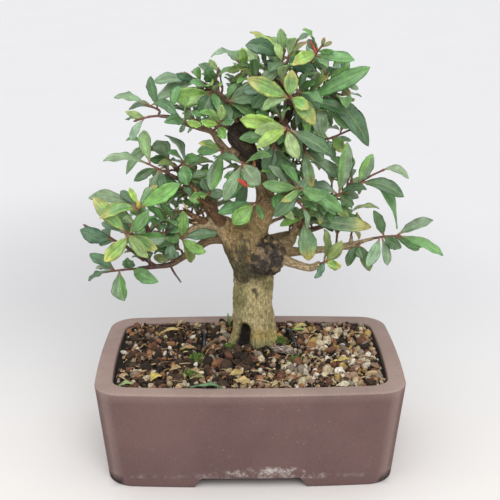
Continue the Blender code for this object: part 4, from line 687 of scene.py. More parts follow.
def twig_start(target, points, radii):
    """Where a twig that heads for a target leaves a branch, just clear of its bark."""
    _, index, fraction, place = nearest_on_line(target, points)
    radius = radius_on(radii, index, fraction)
    along = unit(points[index + 1] - points[index])
    heading = unit(target - place)
    lean = abs(float(np.dot(heading, along)))
    square = math.sqrt(max(1 - lean * lean, 0.0))
    at_tip = index == len(points) - 2 and fraction > 0.999 and lean > TIP_LEAN
    if at_tip:
        return place + heading * (TWIG_GAP + TWIG_RADIUS * square) / lean
    return place + heading * (radius + TWIG_GAP + TWIG_RADIUS * lean) / max(square, LEAST_SQUARE)


def along_line(points, fraction):
    """Place and direction at a fraction of a bent line's length."""
    runs = np.linalg.norm(np.diff(points, axis=0), axis=1)
    left = fraction * runs.sum()
    for index, run in enumerate(runs):
        if left <= run or index == len(runs) - 1:
            step = unit(points[index + 1] - points[index])
            return points[index] + step * left, step
        left -= run


def leaf_outline(place):
    """Half width of the blade, as a share of its greatest, from 0 at the stalk to 1 at the tip."""
    if place <= STALK_SHARE or place >= 1:
        return 0.0
    share = (place - STALK_SHARE) / (1 - STALK_SHARE)
    return share ** OUTLINE_SWELL * (1 - share ** OUTLINE_FULLNESS) ** OUTLINE_TAPER / OUTLINE_PEAK


def make_leaf(base, tip, width, rise, face):
    """A leaf as its base, tip, width, the rise of its middle and the way its upper face looks."""
    run = tip - base
    length = float(np.linalg.norm(run))
    axis = run / length
    face = unit(face - axis * np.dot(face, axis))
    return {"base": base, "tip": tip, "length": length, "width": width, "rise": rise, "face": face,
            "side": np.cross(axis, face)}


def leaf_point(leaf, place, across):
    """A point of the leaf's middle surface, place 0 to 1 along it and across -1 to 1."""
    bow = 4 * place * (1 - place)
    point = leaf["base"] + (leaf["tip"] - leaf["base"]) * place
    point = point + UP * leaf["rise"] * bow + leaf["face"] * BLADE_BOW * leaf["length"] * bow
    half = 0.5 * leaf["width"] * leaf_outline(place)
    return point + leaf["side"] * across * half + leaf["face"] * BLADE_FOLD * abs(across) * half


def leaf_samples(leaf, from_place=0.0):
    """Points spread over a leaf closely enough to tell what it touches."""
    steps = max(6, math.ceil(leaf["length"] / LEAF_SAMPLE))
    lanes = max(2, math.ceil(leaf["width"] / LEAF_SAMPLE / 2) * 2)
    points = []
    for step in range(1, steps + 1):
        place = step / steps
        if place < from_place:
            continue
        if leaf_outline(place) * leaf["width"] < LEAF_SAMPLE:
            points.append(leaf_point(leaf, place, 0))
            continue
        for lane in range(lanes + 1):
            points.append(leaf_point(leaf, place, 2 * lane / lanes - 1))
    return np.array(points)


def line_samples(points, spacing):
    """Points along a bent line, no further apart than about the spacing."""
    places = []
    for start, end in zip(points[:-1], points[1:]):
        count = max(2, math.ceil(np.linalg.norm(end - start) / spacing))
        for step in range(count):
            places.append(start + (end - start) * step / count)
    places.append(points[-1])
    return np.array(places)


class Space:
    """What already fills the crown: wood as thick lines, twigs and leaves as clouds of points."""

    def __init__(self, wood):
        segments = [(points[i], points[i + 1], max(sizes[i], sizes[i + 1]))
                    for points, sizes in wood.values() for i in range(len(points) - 1)]
        self.starts = np.array([segment[0] for segment in segments])
        self.runs = np.array([segment[1] for segment in segments]) - self.starts
        self.radii = np.array([segment[2] for segment in segments])
        self.clouds = []

    def add(self, owner, points, blade=None):
        """Adds a twig or leaf: all its points, and for a leaf those of the blade's outer part."""
        centre = points.mean(axis=0)
        reach = float(np.linalg.norm(points - centre, axis=1).max())
        self.clouds.append((owner, points, centre, reach, blade))

    def add_leaf(self, owner, leaf):
        self.add(owner, leaf_samples(leaf), leaf_samples(leaf, SHARED_SHARE))

    def wood_room(self, points):
        """Least distance from the points to the bark."""
        offset = points[:, None, :] - self.starts[None, :, :]
        share = np.einsum("ijk,jk->ij", offset, self.runs) / np.einsum("jk,jk->j", self.runs, self.runs)
        share = np.clip(share, 0, 1)
        gap = np.linalg.norm(offset - self.runs[None] * share[..., None], axis=2) - self.radii[None]
        return float(gap.min())

    def leaf_room(self, owner, points):
        """Least distance from the points to other sprays."""
        centre = points.mean(axis=0)
        reach = float(np.linalg.norm(points - centre, axis=1).max())
        least = math.inf
        for other, cloud, middle, spread, _ in self.clouds:
            apart = np.linalg.norm(centre - middle)
            if other == owner or apart > reach + spread + LEAF_CLEARANCE:
                continue
            gaps = np.linalg.norm(points[:, None, :] - cloud[None, :, :], axis=2)
            least = min(least, float(gaps.min()))
        return least

    def own_room(self, owner, points):
        """Least distance from the outer part of a blade to the others of its spray."""
        blades = [blade for other, _, _, _, blade in self.clouds if other == owner and blade is not None]
        if not blades:
            return math.inf
        return min(float(np.linalg.norm(points[:, None, :] - blade[None, :, :], axis=2).min())
                   for blade in blades)

    def first_fit(self, owner, trials):
        """The first trial leaf that clears everything, or else all but its own spray."""
        spare = None
        for leaf in trials:
            points = leaf_samples(leaf)
            if self.wood_room(points) <= WOOD_CLEARANCE:
                continue
            if self.leaf_room(owner, points) <= LEAF_CLEARANCE:
                continue
            if self.own_room(owner, leaf_samples(leaf, SHARED_SHARE)) > OWN_CLEARANCE:
                return leaf
            spare = spare or leaf
        return spare


def measured_leaf(twig, entry, shift, turn):
    """A leaf of the front view, its tip moved in depth and turned to pass its neighbours."""
    along, x, z, width, depth, rise = entry
    base, _ = along_line(twig, along)
    run = seen(x, z, base[1] + depth + shift) - base
    cosine, sine = math.cos(turn), math.sin(turn)
    run = np.array([run[0] * cosine - run[2] * sine, run[1], run[0] * sine + run[2] * cosine])
    length = float(np.linalg.norm(run))
    axis = run / length
    slim = 1.0 if length < LONG_LEAF else SLIM_SHARE
    true_width = max(width, WIDTH_OVER_LENGTH * length * slim)
    tilt = math.acos(min(1.0, width / true_width))
    front = unit(TO_VIEWER - axis * np.dot(TO_VIEWER, axis))
    over = np.cross(axis, front)
    if over[2] < 0:
        over = -over
    face = front * math.cos(tilt) + over * math.sin(tilt)
    return make_leaf(base, base + run, true_width, rise, face)


def growth_draws(rng, number, hidden):
    """One rule leaf's place, turn, opening, length, width and lean away from the viewer."""
    pair, second = divmod(number, 2)
    if hidden:
        along = max(RULE_ALONG[0], 1.0 - HIDDEN_PAIR_STEP * pair)
    else:
        along = rng.uniform(*RULE_ALONG)
    turn = math.pi * second + math.pi / 2 * pair + rng.uniform(-RULE_TURN_JITTER, RULE_TURN_JITTER)
    opening = math.radians(rng.uniform(*RULE_OPENING))
    length = rng.uniform(*(HIDDEN_LENGTH if hidden else RULE_LENGTH))
    ratio = rng.uniform(*RULE_RATIO)
    return along, turn, opening, length, ratio, HIDDEN_BACK if hidden else RULE_BACK


def grown_leaf(twig, draws, attempt):
    """A rule leaf: opposite pairs, each pair square to the last, turned on at each attempt."""
    along, turn, opening, length, ratio, back = draws
    base, step = along_line(twig, along)
    side = side_of(step)
    over = np.cross(side, step)
    turn = turn + math.radians(TRY_TURN) * attempt
    opening = opening + math.radians(TRY_OPENINGS[attempt % len(TRY_OPENINGS)])
    out = side * math.cos(turn) + over * math.sin(turn)
    heading = unit(step * math.cos(opening) + out * math.sin(opening) - TO_VIEWER * back)
    length = length if attempt < SHORT_FROM_TRY else SHORT_SHARE * length
    face = unit(UP * RULE_FACE[0] + step * RULE_FACE[1] + TO_VIEWER * RULE_FACE[2])
    if abs(np.dot(face, heading)) > ALONG_FACE_LIMIT:
        face = unit(UP + side)
    rise = RULE_RISE_SHARE * length
    return make_leaf(base, base + heading * length, ratio * length, rise, face)


def view_trials(twig, entry):
    """A measured leaf at each turn and depth, in the order of trial."""
    return (measured_leaf(twig, entry, shift, turn) for turn in VIEW_TURNS for shift in DEPTH_SHIFTS)


def place_measured(space, spray, entries):
    """Adds the measured leaves that clear their neighbours, and counts the ones that can't."""
    missed = 0
    kinds = SPRAY_KINDS.get(spray["name"], "").split()
    for entry, kind in zip(entries, kinds, strict=True):
        leaf = space.first_fit(spray["name"], view_trials(spray["twig"], entry))
        if leaf is None:
            missed += 1
            continue
        leaf["kind"] = kind
        spray["leaves"].append(leaf)
        space.add_leaf(spray["name"], leaf)
    return missed


def place_grown(space, spray, rng, count, hidden):
    """Adds the leaves of the growth rule that find room."""
    for number in range(count):
        draws = growth_draws(rng, number, hidden)
        trials = (grown_leaf(spray["twig"], draws, attempt) for attempt in range(GROWTH_TRIES))
        leaf = space.first_fit(spray["name"], trials)
        if leaf is not None:
            spray["leaves"].append(leaf)
            space.add_leaf(spray["name"], leaf)


def grow():
    """The plant: its wood, each spray with its twig and leaves, and the room left."""
    wood = wood_lines()
    space = Space(wood)
    sprays = []
    for name, branch, path, _, _ in SPRAYS:
        targets = [seen(*point) for point in path]
        twig = np.array([twig_start(targets[0], *wood[branch])] + targets)
        sprays.append({"name": name, "twig": twig, "leaves": []})
        space.add(name, line_samples(twig, 1.0))
    missed = [place_measured(space, spray, entry[3]) for spray, entry in zip(sprays, SPRAYS)]
    rng = np.random.default_rng(SEED)
    for spray, entry, short in zip(sprays, SPRAYS, missed):
        place_grown(space, spray, rng, entry[4] + short, not entry[3])
    return wood, sprays, space


# Colours and meshes


def linear(colour):
    """An eight-bit display colour as the linear values that shaders use."""
    share = np.asarray(colour, float) / 255
    return np.where(share <= 0.04045, share / 12.92, ((share + 0.055) / 1.055) ** 2.4)


def smooth_step(value, low, high):
    """A share that goes smoothly from 0 at low to 1 at high."""
    share = np.clip((np.asarray(value, float) - low) / (high - low), 0, 1)
    return share * share * (3 - 2 * share)


def blend(first, second, share):
    """Two colours mixed by a share for each point."""
    share = np.asarray(share, float)[..., None]
    return first * (1 - share) + second * share


class Form:
    """Points, faces and what each point carries, gathered for one piece."""

    def __init__(self):
        self.points, self.faces, self.tints, self.spots, self.slots = [], [], [], [], []
        self.count = 0

    def add(self, points, faces, tints, spots=0.0, slot=0):
        """Adds points with one or more arrays of faces; spots is a vector that the material reads."""
        points = np.reshape(points, (-1, 3))
        self.points.append(points)
        self.tints.append(np.broadcast_to(tints, points.shape))
        self.spots.append(np.broadcast_to(spots, points.shape))
        for group in faces:
            self.faces.append(np.asarray(group) + self.count)
            self.slots.append(np.full(len(group), slot))
        self.count += len(points)

    def add_rings(self, rings, tints, spots=0.0, slot=0):
        """Adds a closed body through rings that turn right-handed about its line."""
        rows, sides, _ = rings.shape
        caps = [np.arange(sides)[None, ::-1], np.arange(sides)[None, :] + (rows - 1) * sides]
        tints = np.reshape(np.broadcast_to(tints, rings.shape), (-1, 3))
        spots = np.reshape(np.broadcast_to(spots, rings.shape), (-1, 3))
        self.add(rings, [ring_faces(rows, sides)] + caps, tints, spots, slot)

    def make(self, name, materials, smooth=True):
        """The object, in the model's frame, riding on its body."""
        mesh = bpy.data.meshes.new(name)
        points = np.concatenate(self.points) * MM + SHIFT
        corners = np.concatenate([group.ravel() for group in self.faces])
        sizes = np.concatenate([np.full(len(group), group.shape[1]) for group in self.faces])
        mesh.vertices.add(len(points))
        mesh.vertices.foreach_set("co", points.astype(np.float32).ravel())
        mesh.loops.add(len(corners))
        mesh.loops.foreach_set("vertex_index", corners.astype(np.int32))
        mesh.polygons.add(len(sizes))
        mesh.polygons.foreach_set("loop_start", np.concatenate(([0], np.cumsum(sizes)[:-1])).astype(np.int32))
        mesh.polygons.foreach_set("material_index", np.concatenate(self.slots).astype(np.int32))
        mesh.polygons.foreach_set("use_smooth", np.full(len(sizes), smooth))
        mesh.update(calc_edges=True)
        mesh.validate()
        carry(mesh, np.concatenate(self.tints), np.concatenate(self.spots))
        return place(name, mesh, materials)


def carry(mesh, tints, spots):
    """Writes each point's colour and its spot, which the materials read."""
    colours = np.ones((len(tints), 4), np.float32)
    colours[:, :3] = tints
    mesh.color_attributes.new("tint", "FLOAT_COLOR", "POINT").data.foreach_set("color", colours.ravel())
    spot = mesh.attributes.new("spot", "FLOAT_VECTOR", "POINT")
    spot.data.foreach_set("vector", np.asarray(spots, np.float32).ravel())


def mesh_points(mesh):
    """A mesh's points in millimetres from the middle of the pot's footprint."""
    flat = np.empty(len(mesh.vertices) * 3, np.float32)
    mesh.vertices.foreach_get("co", flat)
    return (flat.reshape(-1, 3).astype(float) - SHIFT) / MM


def forget(mesh):
    """Drops what the points carried before the mesh was cut or joined."""
    for name in ("tint", "spot"):
        old = mesh.attributes.get(name)
        if old is not None:
            mesh.attributes.remove(old)


def place(name, mesh, materials):
    """Links a mesh as a piece that rides on the object's one body."""
    for material in materials:
        mesh.materials.append(material)
    made = bpy.data.objects.new(name, mesh)
    bpy.context.scene.collection.objects.link(made)
    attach(made, "root")
    return made


def ring_faces(rows, sides):
    """Four-cornered faces between rings that have equally many points."""
    low = np.arange(rows - 1)[:, None] * sides
    turn = np.arange(sides)[None, :]
    after = (turn + 1) % sides
    return np.stack([low + turn, low + after, low + sides + after, low + sides + turn], -1).reshape(-1, 4)


def tube_rings(points, radii, sides):
    """Round rings along a bent line, kept from twisting."""
    steps = np.diff(points, axis=0)
    normal = np.cross(unit(steps[0]), UP)
    if np.linalg.norm(normal) < 0.1:
        normal = np.cross(unit(steps[0]), TO_VIEWER)
    angles = round_angles(sides)
    rings = []
    for index, point in enumerate(points):
        before, after = steps[max(index - 1, 0)], steps[min(index, len(steps) - 1)]
        along = unit(unit(before) + unit(after))
        normal = unit(normal - along * np.dot(normal, along))
        round_it = np.outer(np.cos(angles), normal) + np.outer(np.sin(angles), np.cross(along, normal))
        rings.append(point + round_it * radii[index])
    return np.array(rings)


def smooth_line(points, steps):
    """A smooth curve through points of any size, with a given number of steps between each two."""
    points = np.asarray(points, float)
    ends = np.concatenate([[2 * points[0] - points[1]], points, [2 * points[-1] - points[-2]]])
    result = []
    for index in range(len(points) - 1):
        first, second, third, fourth = ends[index:index + 4]
        for step in range(steps):
            t = step / steps
            result.append(0.5 * (2 * second + (third - first) * t
                                 + (2 * first - 5 * second + 4 * third - fourth) * t ** 2
                                 + (3 * second - first - 3 * third + fourth) * t ** 3))
    result.append(points[-1])
    return np.array(result)


# Materials


def set_span(node, low, high, to_low, to_high):
    """Sets the two ranges of a node that spreads one over the other."""
    for name, number in (("From Min", low), ("From Max", high), ("To Min", to_low), ("To Max", to_high)):
        node.inputs[name].default_value = number


class Finish:
    """A material whose nodes are made and joined in short steps."""

    def __init__(self, name, roughness, specular=0.5):
        self.made = bpy.data.materials.new(name)
        self.made.use_nodes = True
        self.nodes = self.made.node_tree.nodes
        self.links = self.made.node_tree.links
        self.shader = self.nodes["Principled BSDF"]
        self.shader.inputs["Roughness"].default_value = roughness
        self.shader.inputs["Specular IOR Level"].default_value = specular
        self.where = self.node("TexCoord").outputs["Object"]
        self.tint = self.node("Attribute", attribute_name="tint").outputs["Color"]
        self.spot = self.node("Attribute", attribute_name="spot").outputs["Vector"]

    def node(self, kind, **settings):
        made = self.nodes.new("ShaderNode" + kind)
        for name, value in settings.items():
            setattr(made, name, value)
        return made

    def join(self, socket, value):
        """Joins a socket to another node's output, or sets it to a number or colour."""
        if isinstance(value, bpy.types.NodeSocket):
            self.links.new(value, socket)
        else:
            socket.default_value = value

    def math(self, operation, first, second=0.0):
        made = self.node("Math", operation=operation)
        self.join(made.inputs[0], first)
        self.join(made.inputs[1], second)
        return made.outputs[0]

    def times(self, first, *others):
        """The product of two or more numbers."""
        for other in others:
            first = self.math("MULTIPLY", first, other)
        return first

    def plus(self, first, second):
        return self.math("ADD", first, second)

    def minus(self, first, second):
        return self.math("SUBTRACT", first, second)

    def mix(self, share, first, second, blend_type="MIX"):
        made = self.node("Mix", data_type="RGBA", blend_type=blend_type)
        self.join(made.inputs[0], share)
        self.join(made.inputs[6], first)
        self.join(made.inputs[7], second)
        return made.outputs[2]

    def noise(self, where, scale, detail=3.0, roughness=0.55):
        made = self.node("TexNoise")
        self.join(made.inputs["Vector"], where)
        made.inputs["Scale"].default_value = scale
        made.inputs["Detail"].default_value = detail
        made.inputs["Roughness"].default_value = roughness
        return made.outputs["Fac"]

    def cells(self, where, scale, feature="F1"):
        made = self.node("TexVoronoi", feature=feature)
        self.join(made.inputs["Vector"], where)
        made.inputs["Scale"].default_value = scale
        return made.outputs["Distance"]

    def span(self, value, low, high, to_low=0.0, to_high=1.0):
        """A value spread smoothly from one range to another."""
        made = self.node("MapRange", interpolation_type="SMOOTHSTEP")
        self.join(made.inputs["Value"], value)
        set_span(made, low, high, to_low, to_high)
        return made.outputs["Result"]

    def mottle(self, scale, low, high, detail=3.0, roughness=0.55):
        """A number that wanders from place to place between two values."""
        return self.span(self.noise(self.where, scale, detail, roughness), 0.3, 0.7, low, high)

    def grey(self, value):
        """A number as a grey colour, for multiplying."""
        made = self.node("CombineColor")
        for socket in made.inputs:
            self.join(socket, value)
        return made.outputs[0]

    def shade(self, colour, value):
        return self.mix(1.0, colour, self.grey(value), "MULTIPLY")

    def part(self, vector, axis):
        made = self.node("SeparateXYZ")
        self.join(made.inputs[0], vector)
        return made.outputs[axis]

    def finish(self, colour, height=None, distance=0.0003, strength=1.0, roughness=None):
        """Joins the colour, the relief and the roughness to the shader."""
        self.join(self.shader.inputs["Base Color"], colour)
        if roughness is not None:
            self.join(self.shader.inputs["Roughness"], roughness)
        if height is not None:
            bump = self.node("Bump")
            bump.inputs["Strength"].default_value = strength
            bump.inputs["Distance"].default_value = distance
            self.join(bump.inputs["Height"], height)
            self.join(self.shader.inputs["Normal"], bump.outputs["Normal"])
        return self.made


def colour_of(values):
    """An eight-bit display colour as a shader's colour."""
    return (*(float(value) for value in linear(values)), 1.0)


def leaf_finish():
    """Satin leaf skin: pale rib, side veins that run forward, uneven green, and pale bands along the blade of
    dust and painted sheen.
    """
    skin = Finish("leaf_skin", 0.42, 0.5)
    skin.shader.inputs["Coat Weight"].default_value = 0.4
    skin.shader.inputs["Coat Roughness"].default_value = 0.34
    along = skin.part(skin.spot, 0)
    across = skin.math("ABSOLUTE", skin.part(skin.spot, 1))
    rib = skin.span(across, 0.11, 0.03)
    row = skin.math("FRACT", skin.minus(skin.times(along, 11.0), skin.times(across, 1.7)))
    vein = skin.span(skin.math("ABSOLUTE", skin.minus(row, 0.5)), 0.1, 0.0)
    vein = skin.times(vein, skin.span(across, 1.0, 0.6))
    blotch = skin.mottle(210.0, 0.74, 1.24, 4.0)
    speck = skin.mottle(1100.0, 0.92, 1.08, 2.0)
    stretch = skin.node("VectorMath", operation="MULTIPLY")
    skin.join(stretch.inputs[0], skin.spot)
    stretch.inputs[1].default_value = (2.2, 3.4, 37.0)
    streak = skin.span(skin.noise(stretch.outputs[0], 1.0, 4.0), 0.3, 0.7, 0.72, 1.26)
    colour = skin.shade(skin.tint, skin.times(blotch, speck, streak))
    # pale bands along the blade: dust and a painted sheen
    dust_and_sheen = skin.span(skin.noise(stretch.outputs[0], 1.7, 5.0, 0.7), 0.52, 0.74, 0.0, 0.3)
    colour = skin.mix(dust_and_sheen, colour, colour_of(DUST_AND_SHEEN_TINT))
    colour = skin.mix(skin.times(vein, 0.1), colour, colour_of(VEIN_TINT))
    colour = skin.mix(skin.times(rib, 0.24), colour, colour_of(RIB_TINT))
    height = skin.minus(skin.noise(skin.where, 900.0), skin.times(vein, 0.7))
    height = skin.plus(skin.minus(height, rib), skin.times(skin.noise(skin.where, 150.0, 2.0), 5.0))
    rough = skin.mottle(260.0, 0.34, 0.52)
    return skin.finish(colour, height, 0.0002, 0.55, rough)


def wood_finish(name, scale, relief, dark=0.5, light=1.35):
    """Bark or twig skin: flakes and fissures that run along the wood, read from each point's spot."""
    bark = Finish(name, 0.85, 0.25)
    flake = bark.noise(bark.spot, 0.85 * scale, 4.0, 0.62)
    fine = bark.noise(bark.spot, 3.1 * scale, 3.0, 0.6)
    crack = bark.span(bark.cells(bark.spot, 0.75 * scale, "DISTANCE_TO_EDGE"), 0.0, 0.11)
    tone = bark.times(bark.span(flake, 0.28, 0.72, dark, light), bark.span(fine, 0.25, 0.75, 0.72, 1.26),
                      bark.span(crack, 0.0, 1.0, 0.8, 1.02))
    moss = bark.span(bark.noise(bark.where, 130.0, 4.0), 0.54, 0.7, 0.0, 0.26)
    colour = bark.mix(moss, bark.shade(bark.tint, tone), colour_of(BARK_MOSS_TINT))
    height = bark.plus(bark.plus(flake, bark.times(fine, 0.6)), bark.times(crack, 0.5))
    return bark.finish(colour, height, relief, 0.9)


def clay_finish():
    """Unglazed mauve-brown clay: grog, a rim painted paler as a highlight, and lime that has dried along the
    foot.
    """
    clay = Finish("clay", 0.74, 0.3)
    height_up = clay.part(clay.where, 2)
    sideways = clay.part(clay.where, 0)
    cloud = clay.mottle(22.0, 0.9, 1.1, 4.0)
    grog = clay.span(clay.noise(clay.where, 1500.0, 2.0, 0.7), 0.3, 0.75, 0.9, 1.14)
    colour = clay.shade(clay.tint, clay.times(cloud, grog))
    pale = clay.span(clay.noise(clay.where, 620.0, 2.0), 0.68, 0.78, 0.0, 0.3)
    colour = clay.mix(pale, colour, colour_of(FLECK_TINT))
    middle = clay.times(clay.span(sideways, -0.05, 0.0), clay.span(sideways, 0.045, 0.012))
    lowered = clay.minus(height_up, clay.times(middle, 0.0055))
    band = clay.times(clay.span(height_up, 0.0056, 0.0066), clay.span(lowered, 0.0098, 0.0068))
    ragged = clay.span(clay.noise(clay.where, 130.0, 8.0, 0.78), 0.46, 0.66)
    lime = clay.times(band, ragged, clay.plus(clay.times(middle, 0.72), 0.26))
    colour = clay.mix(lime, colour, colour_of(LIME_TINT))
    bump = clay.plus(clay.noise(clay.where, 1300.0, 3.0), clay.noise(clay.where, 260.0, 3.0))
    rough = clay.mottle(60.0, 0.66, 0.84)
    return clay.finish(colour, bump, 0.00022, 0.7, rough)


def stone_finish(name, roughness=0.85):
    """Grains of soil: each its own colour, pitted and dust-covered."""
    stone = Finish(name, roughness, 0.25)
    colour = stone.shade(stone.tint, stone.mottle(700.0, 0.6, 1.3, 4.0, 0.65))
    pits = stone.plus(stone.noise(stone.where, 1100.0, 3.0, 0.7), stone.noise(stone.where, 380.0))
    return stone.finish(colour, pits, 0.00035, 0.9)


def plain_skin(name, roughness, scale, relief, specular=0.4, metallic=0.0):
    """Small plain parts whose colour and relief vary gently."""
    skin = Finish(name, roughness, specular)
    skin.shader.inputs["Metallic"].default_value = metallic
    tone = skin.mottle(scale, 0.7, 1.25)
    return skin.finish(skin.shade(skin.tint, tone), skin.noise(skin.where, 2 * scale), relief, 0.7)


def net_finish():
    """Black moulded plastic of the drainage nets."""
    net = Finish("net_plastic", 0.5, 0.4)
    tone = net.mottle(500.0, 0.8, 1.3)
    return net.finish(net.shade(colour_of(NET_TINT), tone), net.noise(net.where, 900.0), 0.0001, 0.5)


def floor_finish():
    """A pale surface, painted brighter and warmer near the object and darker and cooler far behind it, with a
    painted shadow behind the tree and painted shade beneath the pot.
    """
    floor = Finish("floor_paper", 0.9, 0.1)
    # painted fall of light: brighter near the object, darker far behind it
    far = floor.span(floor.part(floor.where, 1), *FLOOR_FADE)
    tone = floor.span(floor.noise(floor.where, 6.0), 0.2, 0.8, 0.992, 1.008)
    offsets = []
    edges = []
    for axis in (0, 1):
        coordinate = floor.part(floor.where, axis)
        offset = floor.math("DIVIDE", floor.minus(coordinate, SHADOW_POOL_CENTRE[axis]), SHADOW_POOL_REACH[axis])
        offsets.append(floor.times(offset, offset))
        from_pot = floor.math("ABSOLUTE", floor.minus(coordinate, float(SHIFT[axis])))
        edges.append(floor.minus(from_pot, UNDER_POT_SHADE_REACH[axis]))
    # painted shadow of the tree on the floor behind it
    far_off = floor.math("SQRT", floor.plus(*offsets))
    painted_shadow_pool = floor.span(far_off, 0.1, 1.5, SHADOW_POOL_SHADE, 1.0)
    # painted shade on the floor beneath the pot
    shade_under_pot = floor.span(floor.math("MAXIMUM", *edges), -0.01, 0.006, UNDER_SHADE, 1.0)
    tone = floor.times(tone, painted_shadow_pool, shade_under_pot)
    return floor.finish(floor.shade(floor.mix(far, colour_of(FLOOR_NEAR), colour_of(FLOOR_FAR)), tone))


# Leaves and twigs


def blade_form(rng, kind):
    """How one leaf's blade bends: fold, wave, twist and curl of its tip."""
    bend = {name: rng.uniform(*span) for name, span in BLADE_BEND.items()}
    bend["fold"] *= LEAF_KINDS[kind][4]
    return bend


def blade_points(leaf, form, places, lanes, side):
    """Points of one side of a leaf from stalk to tip: side is 1 above and -1 below."""
    along = places[:, None]
    across = lanes[None, :]
    blade_half = np.array([leaf_outline(share) for share in places])[:, None] * leaf["width"] / 2
    stalk_half = STALK_HALF * np.clip(1 - (along - STALK_SHARE) / 0.12, 0, 1) + 0.02
    ripple = np.sin(2 * math.pi * (form["waves"] + 1.7) * along + form["right_phase"]) * np.abs(across)
    blade_half = blade_half * (1 + form["ripple"] * ripple)
    half = np.maximum(blade_half, stalk_half)
    bladed = np.clip((blade_half - STALK_HALF) / 1.2, 0, 1)
    bow = 4 * along * (1 - along)
    lift = BLADE_BOW * leaf["length"] * bow - form["curl"] * leaf["length"] * np.clip(along - 0.5, 0, 1) ** 2
    phase = np.where(across < 0, form["left_phase"], form["right_phase"])
    wave = form["wave"] * np.sin(2 * math.pi * form["waves"] * along + phase) * across ** 2
    rise = (form["fold"] * np.abs(across) + wave) * half * bladed
    flat = BLADE_THICKNESS / 2 * (1 - 0.7 * across ** 2)
    rib = RIB_HEIGHT * np.exp(-(across / 0.13) ** 2) * (side < 0) * (1 - along)
    thick = flat * bladed + rib * bladed + half * np.sqrt(np.clip(1 - across ** 2, 0, 1)) * (1 - bladed)
    turn = form["twist"] * (along - 0.3) * bladed
    wide, up = across * half, rise + side * thick
    wide = wide + form["sickle"] * leaf["length"] * bow
    x = wide * np.cos(turn) - up * np.sin(turn)
    y = wide * np.sin(turn) + up * np.cos(turn) + lift
    run = leaf["tip"] - leaf["base"]
    middle = leaf["base"] + run * along[..., None] + UP * (leaf["rise"] * bow)[..., None]
    return middle + leaf["side"] * x[..., None] + leaf["face"] * y[..., None]


def blade_tints(kind, places, lanes, side, shade):
    """Colours of one side of a leaf, with its margin, tip and stalk."""
    front, back, margin, tip, _ = LEAF_KINDS[kind]
    along = np.broadcast_to(places[:, None], (len(places), len(lanes)))
    across = np.broadcast_to(lanes[None, :], along.shape)
    tints = np.broadcast_to(linear(front if side > 0 else back) * shade, (*along.shape, 3)).copy()
    if kind == "split":
        tints = blend(tints, linear(SPLIT_TINT), smooth_step(across, -0.1, 0.1))
    if margin is not None:
        ragged = 0.14 * np.sin(23 * along + 5 * across) + 0.1 * np.sin(51 * along)
        tints = blend(tints, linear(margin), smooth_step(np.abs(across) + ragged, 0.55, 1.0) * 0.75)
    if tip is not None:
        tints = blend(tints, linear(tip), smooth_step(along, 0.62, 0.98) * 0.9)
    return blend(linear(STALK_TINT), tints, smooth_step(along, STALK_SHARE * 0.7, STALK_SHARE * 2.2))


def add_leaf_body(form, leaf, kind, rng, mesh=BLADE_MESH):
    """A whole leaf as one closed body of rings, its spot holding the place along and across it."""
    bend = blade_form(rng, kind)
    # leaves painted brighter to stand in for light shining through them
    shade = LEAF_PAINTED_TRANSLUCENCY * rng.uniform(0.82, 1.18)
    shade = shade * np.array([rng.uniform(0.92, 1.12), 1.0, rng.uniform(0.88, 1.14)])
    rows, lane_count = mesh
    steps = np.linspace(0.05, 1.0, rows)
    blade = STALK_SHARE + (1 - STALK_SHARE) * np.sin(steps * math.pi / 2) ** 1.1
    places = np.concatenate(([0.0, 0.5 * STALK_SHARE], blade))
    upper = np.linspace(-1, 1, lane_count + 1)
    lower = upper[::-1][1:-1]
    points = np.concatenate([blade_points(leaf, bend, places, upper, 1),
                             blade_points(leaf, bend, places, lower, -1)], axis=1)
    tints = np.concatenate([blade_tints(kind, places, upper, 1, shade),
                            blade_tints(kind, places, lower, -1, shade)], axis=1)
    lanes = np.concatenate([upper, lower])
    spots = np.stack([np.broadcast_to(places[:, None], points.shape[:2]),
                      np.broadcast_to(lanes[None, :], points.shape[:2]),
                      np.full(points.shape[:2], rng.uniform())], axis=-1)
    form.add_rings(points, tints, spots)


def add_twig(form, line):
    """A twig along a line, from inside the bark to a bud at its tip, redder where it is young."""
    root = line[0] - unit(line[1] - line[0]) * TWIG_ROOT
    line = smooth_line(np.concatenate([[root], line]), 5)
    share = np.linspace(0, 1, len(line))
    radii = TWIG_RADIUS + (TWIG_TIP_RADIUS - TWIG_RADIUS) * share
    radii = radii * (1 + NODE_SWELL * np.maximum(np.sin(share * NODE_WAVES), 0) ** 6)
    bud = unit(line[-1] - line[-2])
    line = np.concatenate([line, [line[-1] + bud * step for step, _ in BUD_STEPS]])
    radii = np.concatenate([radii, [radius for _, radius in BUD_STEPS]])
    share = np.concatenate([share, np.ones(len(BUD_STEPS))])
    rings = tube_rings(line, radii, TWIG_SIDES)
    tints = blend(*(linear(tint) for tint in TWIG_TINTS), share)[:, None, :]
    runs = passed_lengths(line)
    spots = (rings - line[:, None, :]) + runs[:, None, None] * np.array([0.0, 0.0, 0.3])
    form.add_rings(rings, tints, spots, TWIG_SLOT)


def rule_kind(rng):
    """A leaf kind, drawn by how often each comes."""
    names = [name for name, _ in RULE_KINDS]
    weights = [weight for _, weight in RULE_KINDS]
    return names[rng.choice(len(names), p=np.array(weights) / sum(weights))]


def make_sprays(sprays, finishes):
    """Each leafy spray as one piece in place of its node."""
    rng = np.random.default_rng(FORM_SEED)
    for spray in sprays:
        form = Form()
        add_twig(form, spray["twig"])
        for leaf in spray["leaves"]:
            add_leaf_body(form, leaf, leaf.get("kind") or rule_kind(rng), rng)
        made = form.make("foliage_" + spray["name"], [finishes["leaf"], finishes["twig"]])
        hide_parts("spray_" + spray["name"])


def seen_place(point):
    """x and z of a true point, or of rows of x, y and z, as seen on the front plane."""
    reach = (FRONT_PLANE - VIEW_POINT[1]) / (point[1] - VIEW_POINT[1])
    return tuple(VIEW_POINT[axis] + (point[axis] - VIEW_POINT[axis]) * reach for axis in (0, 2))


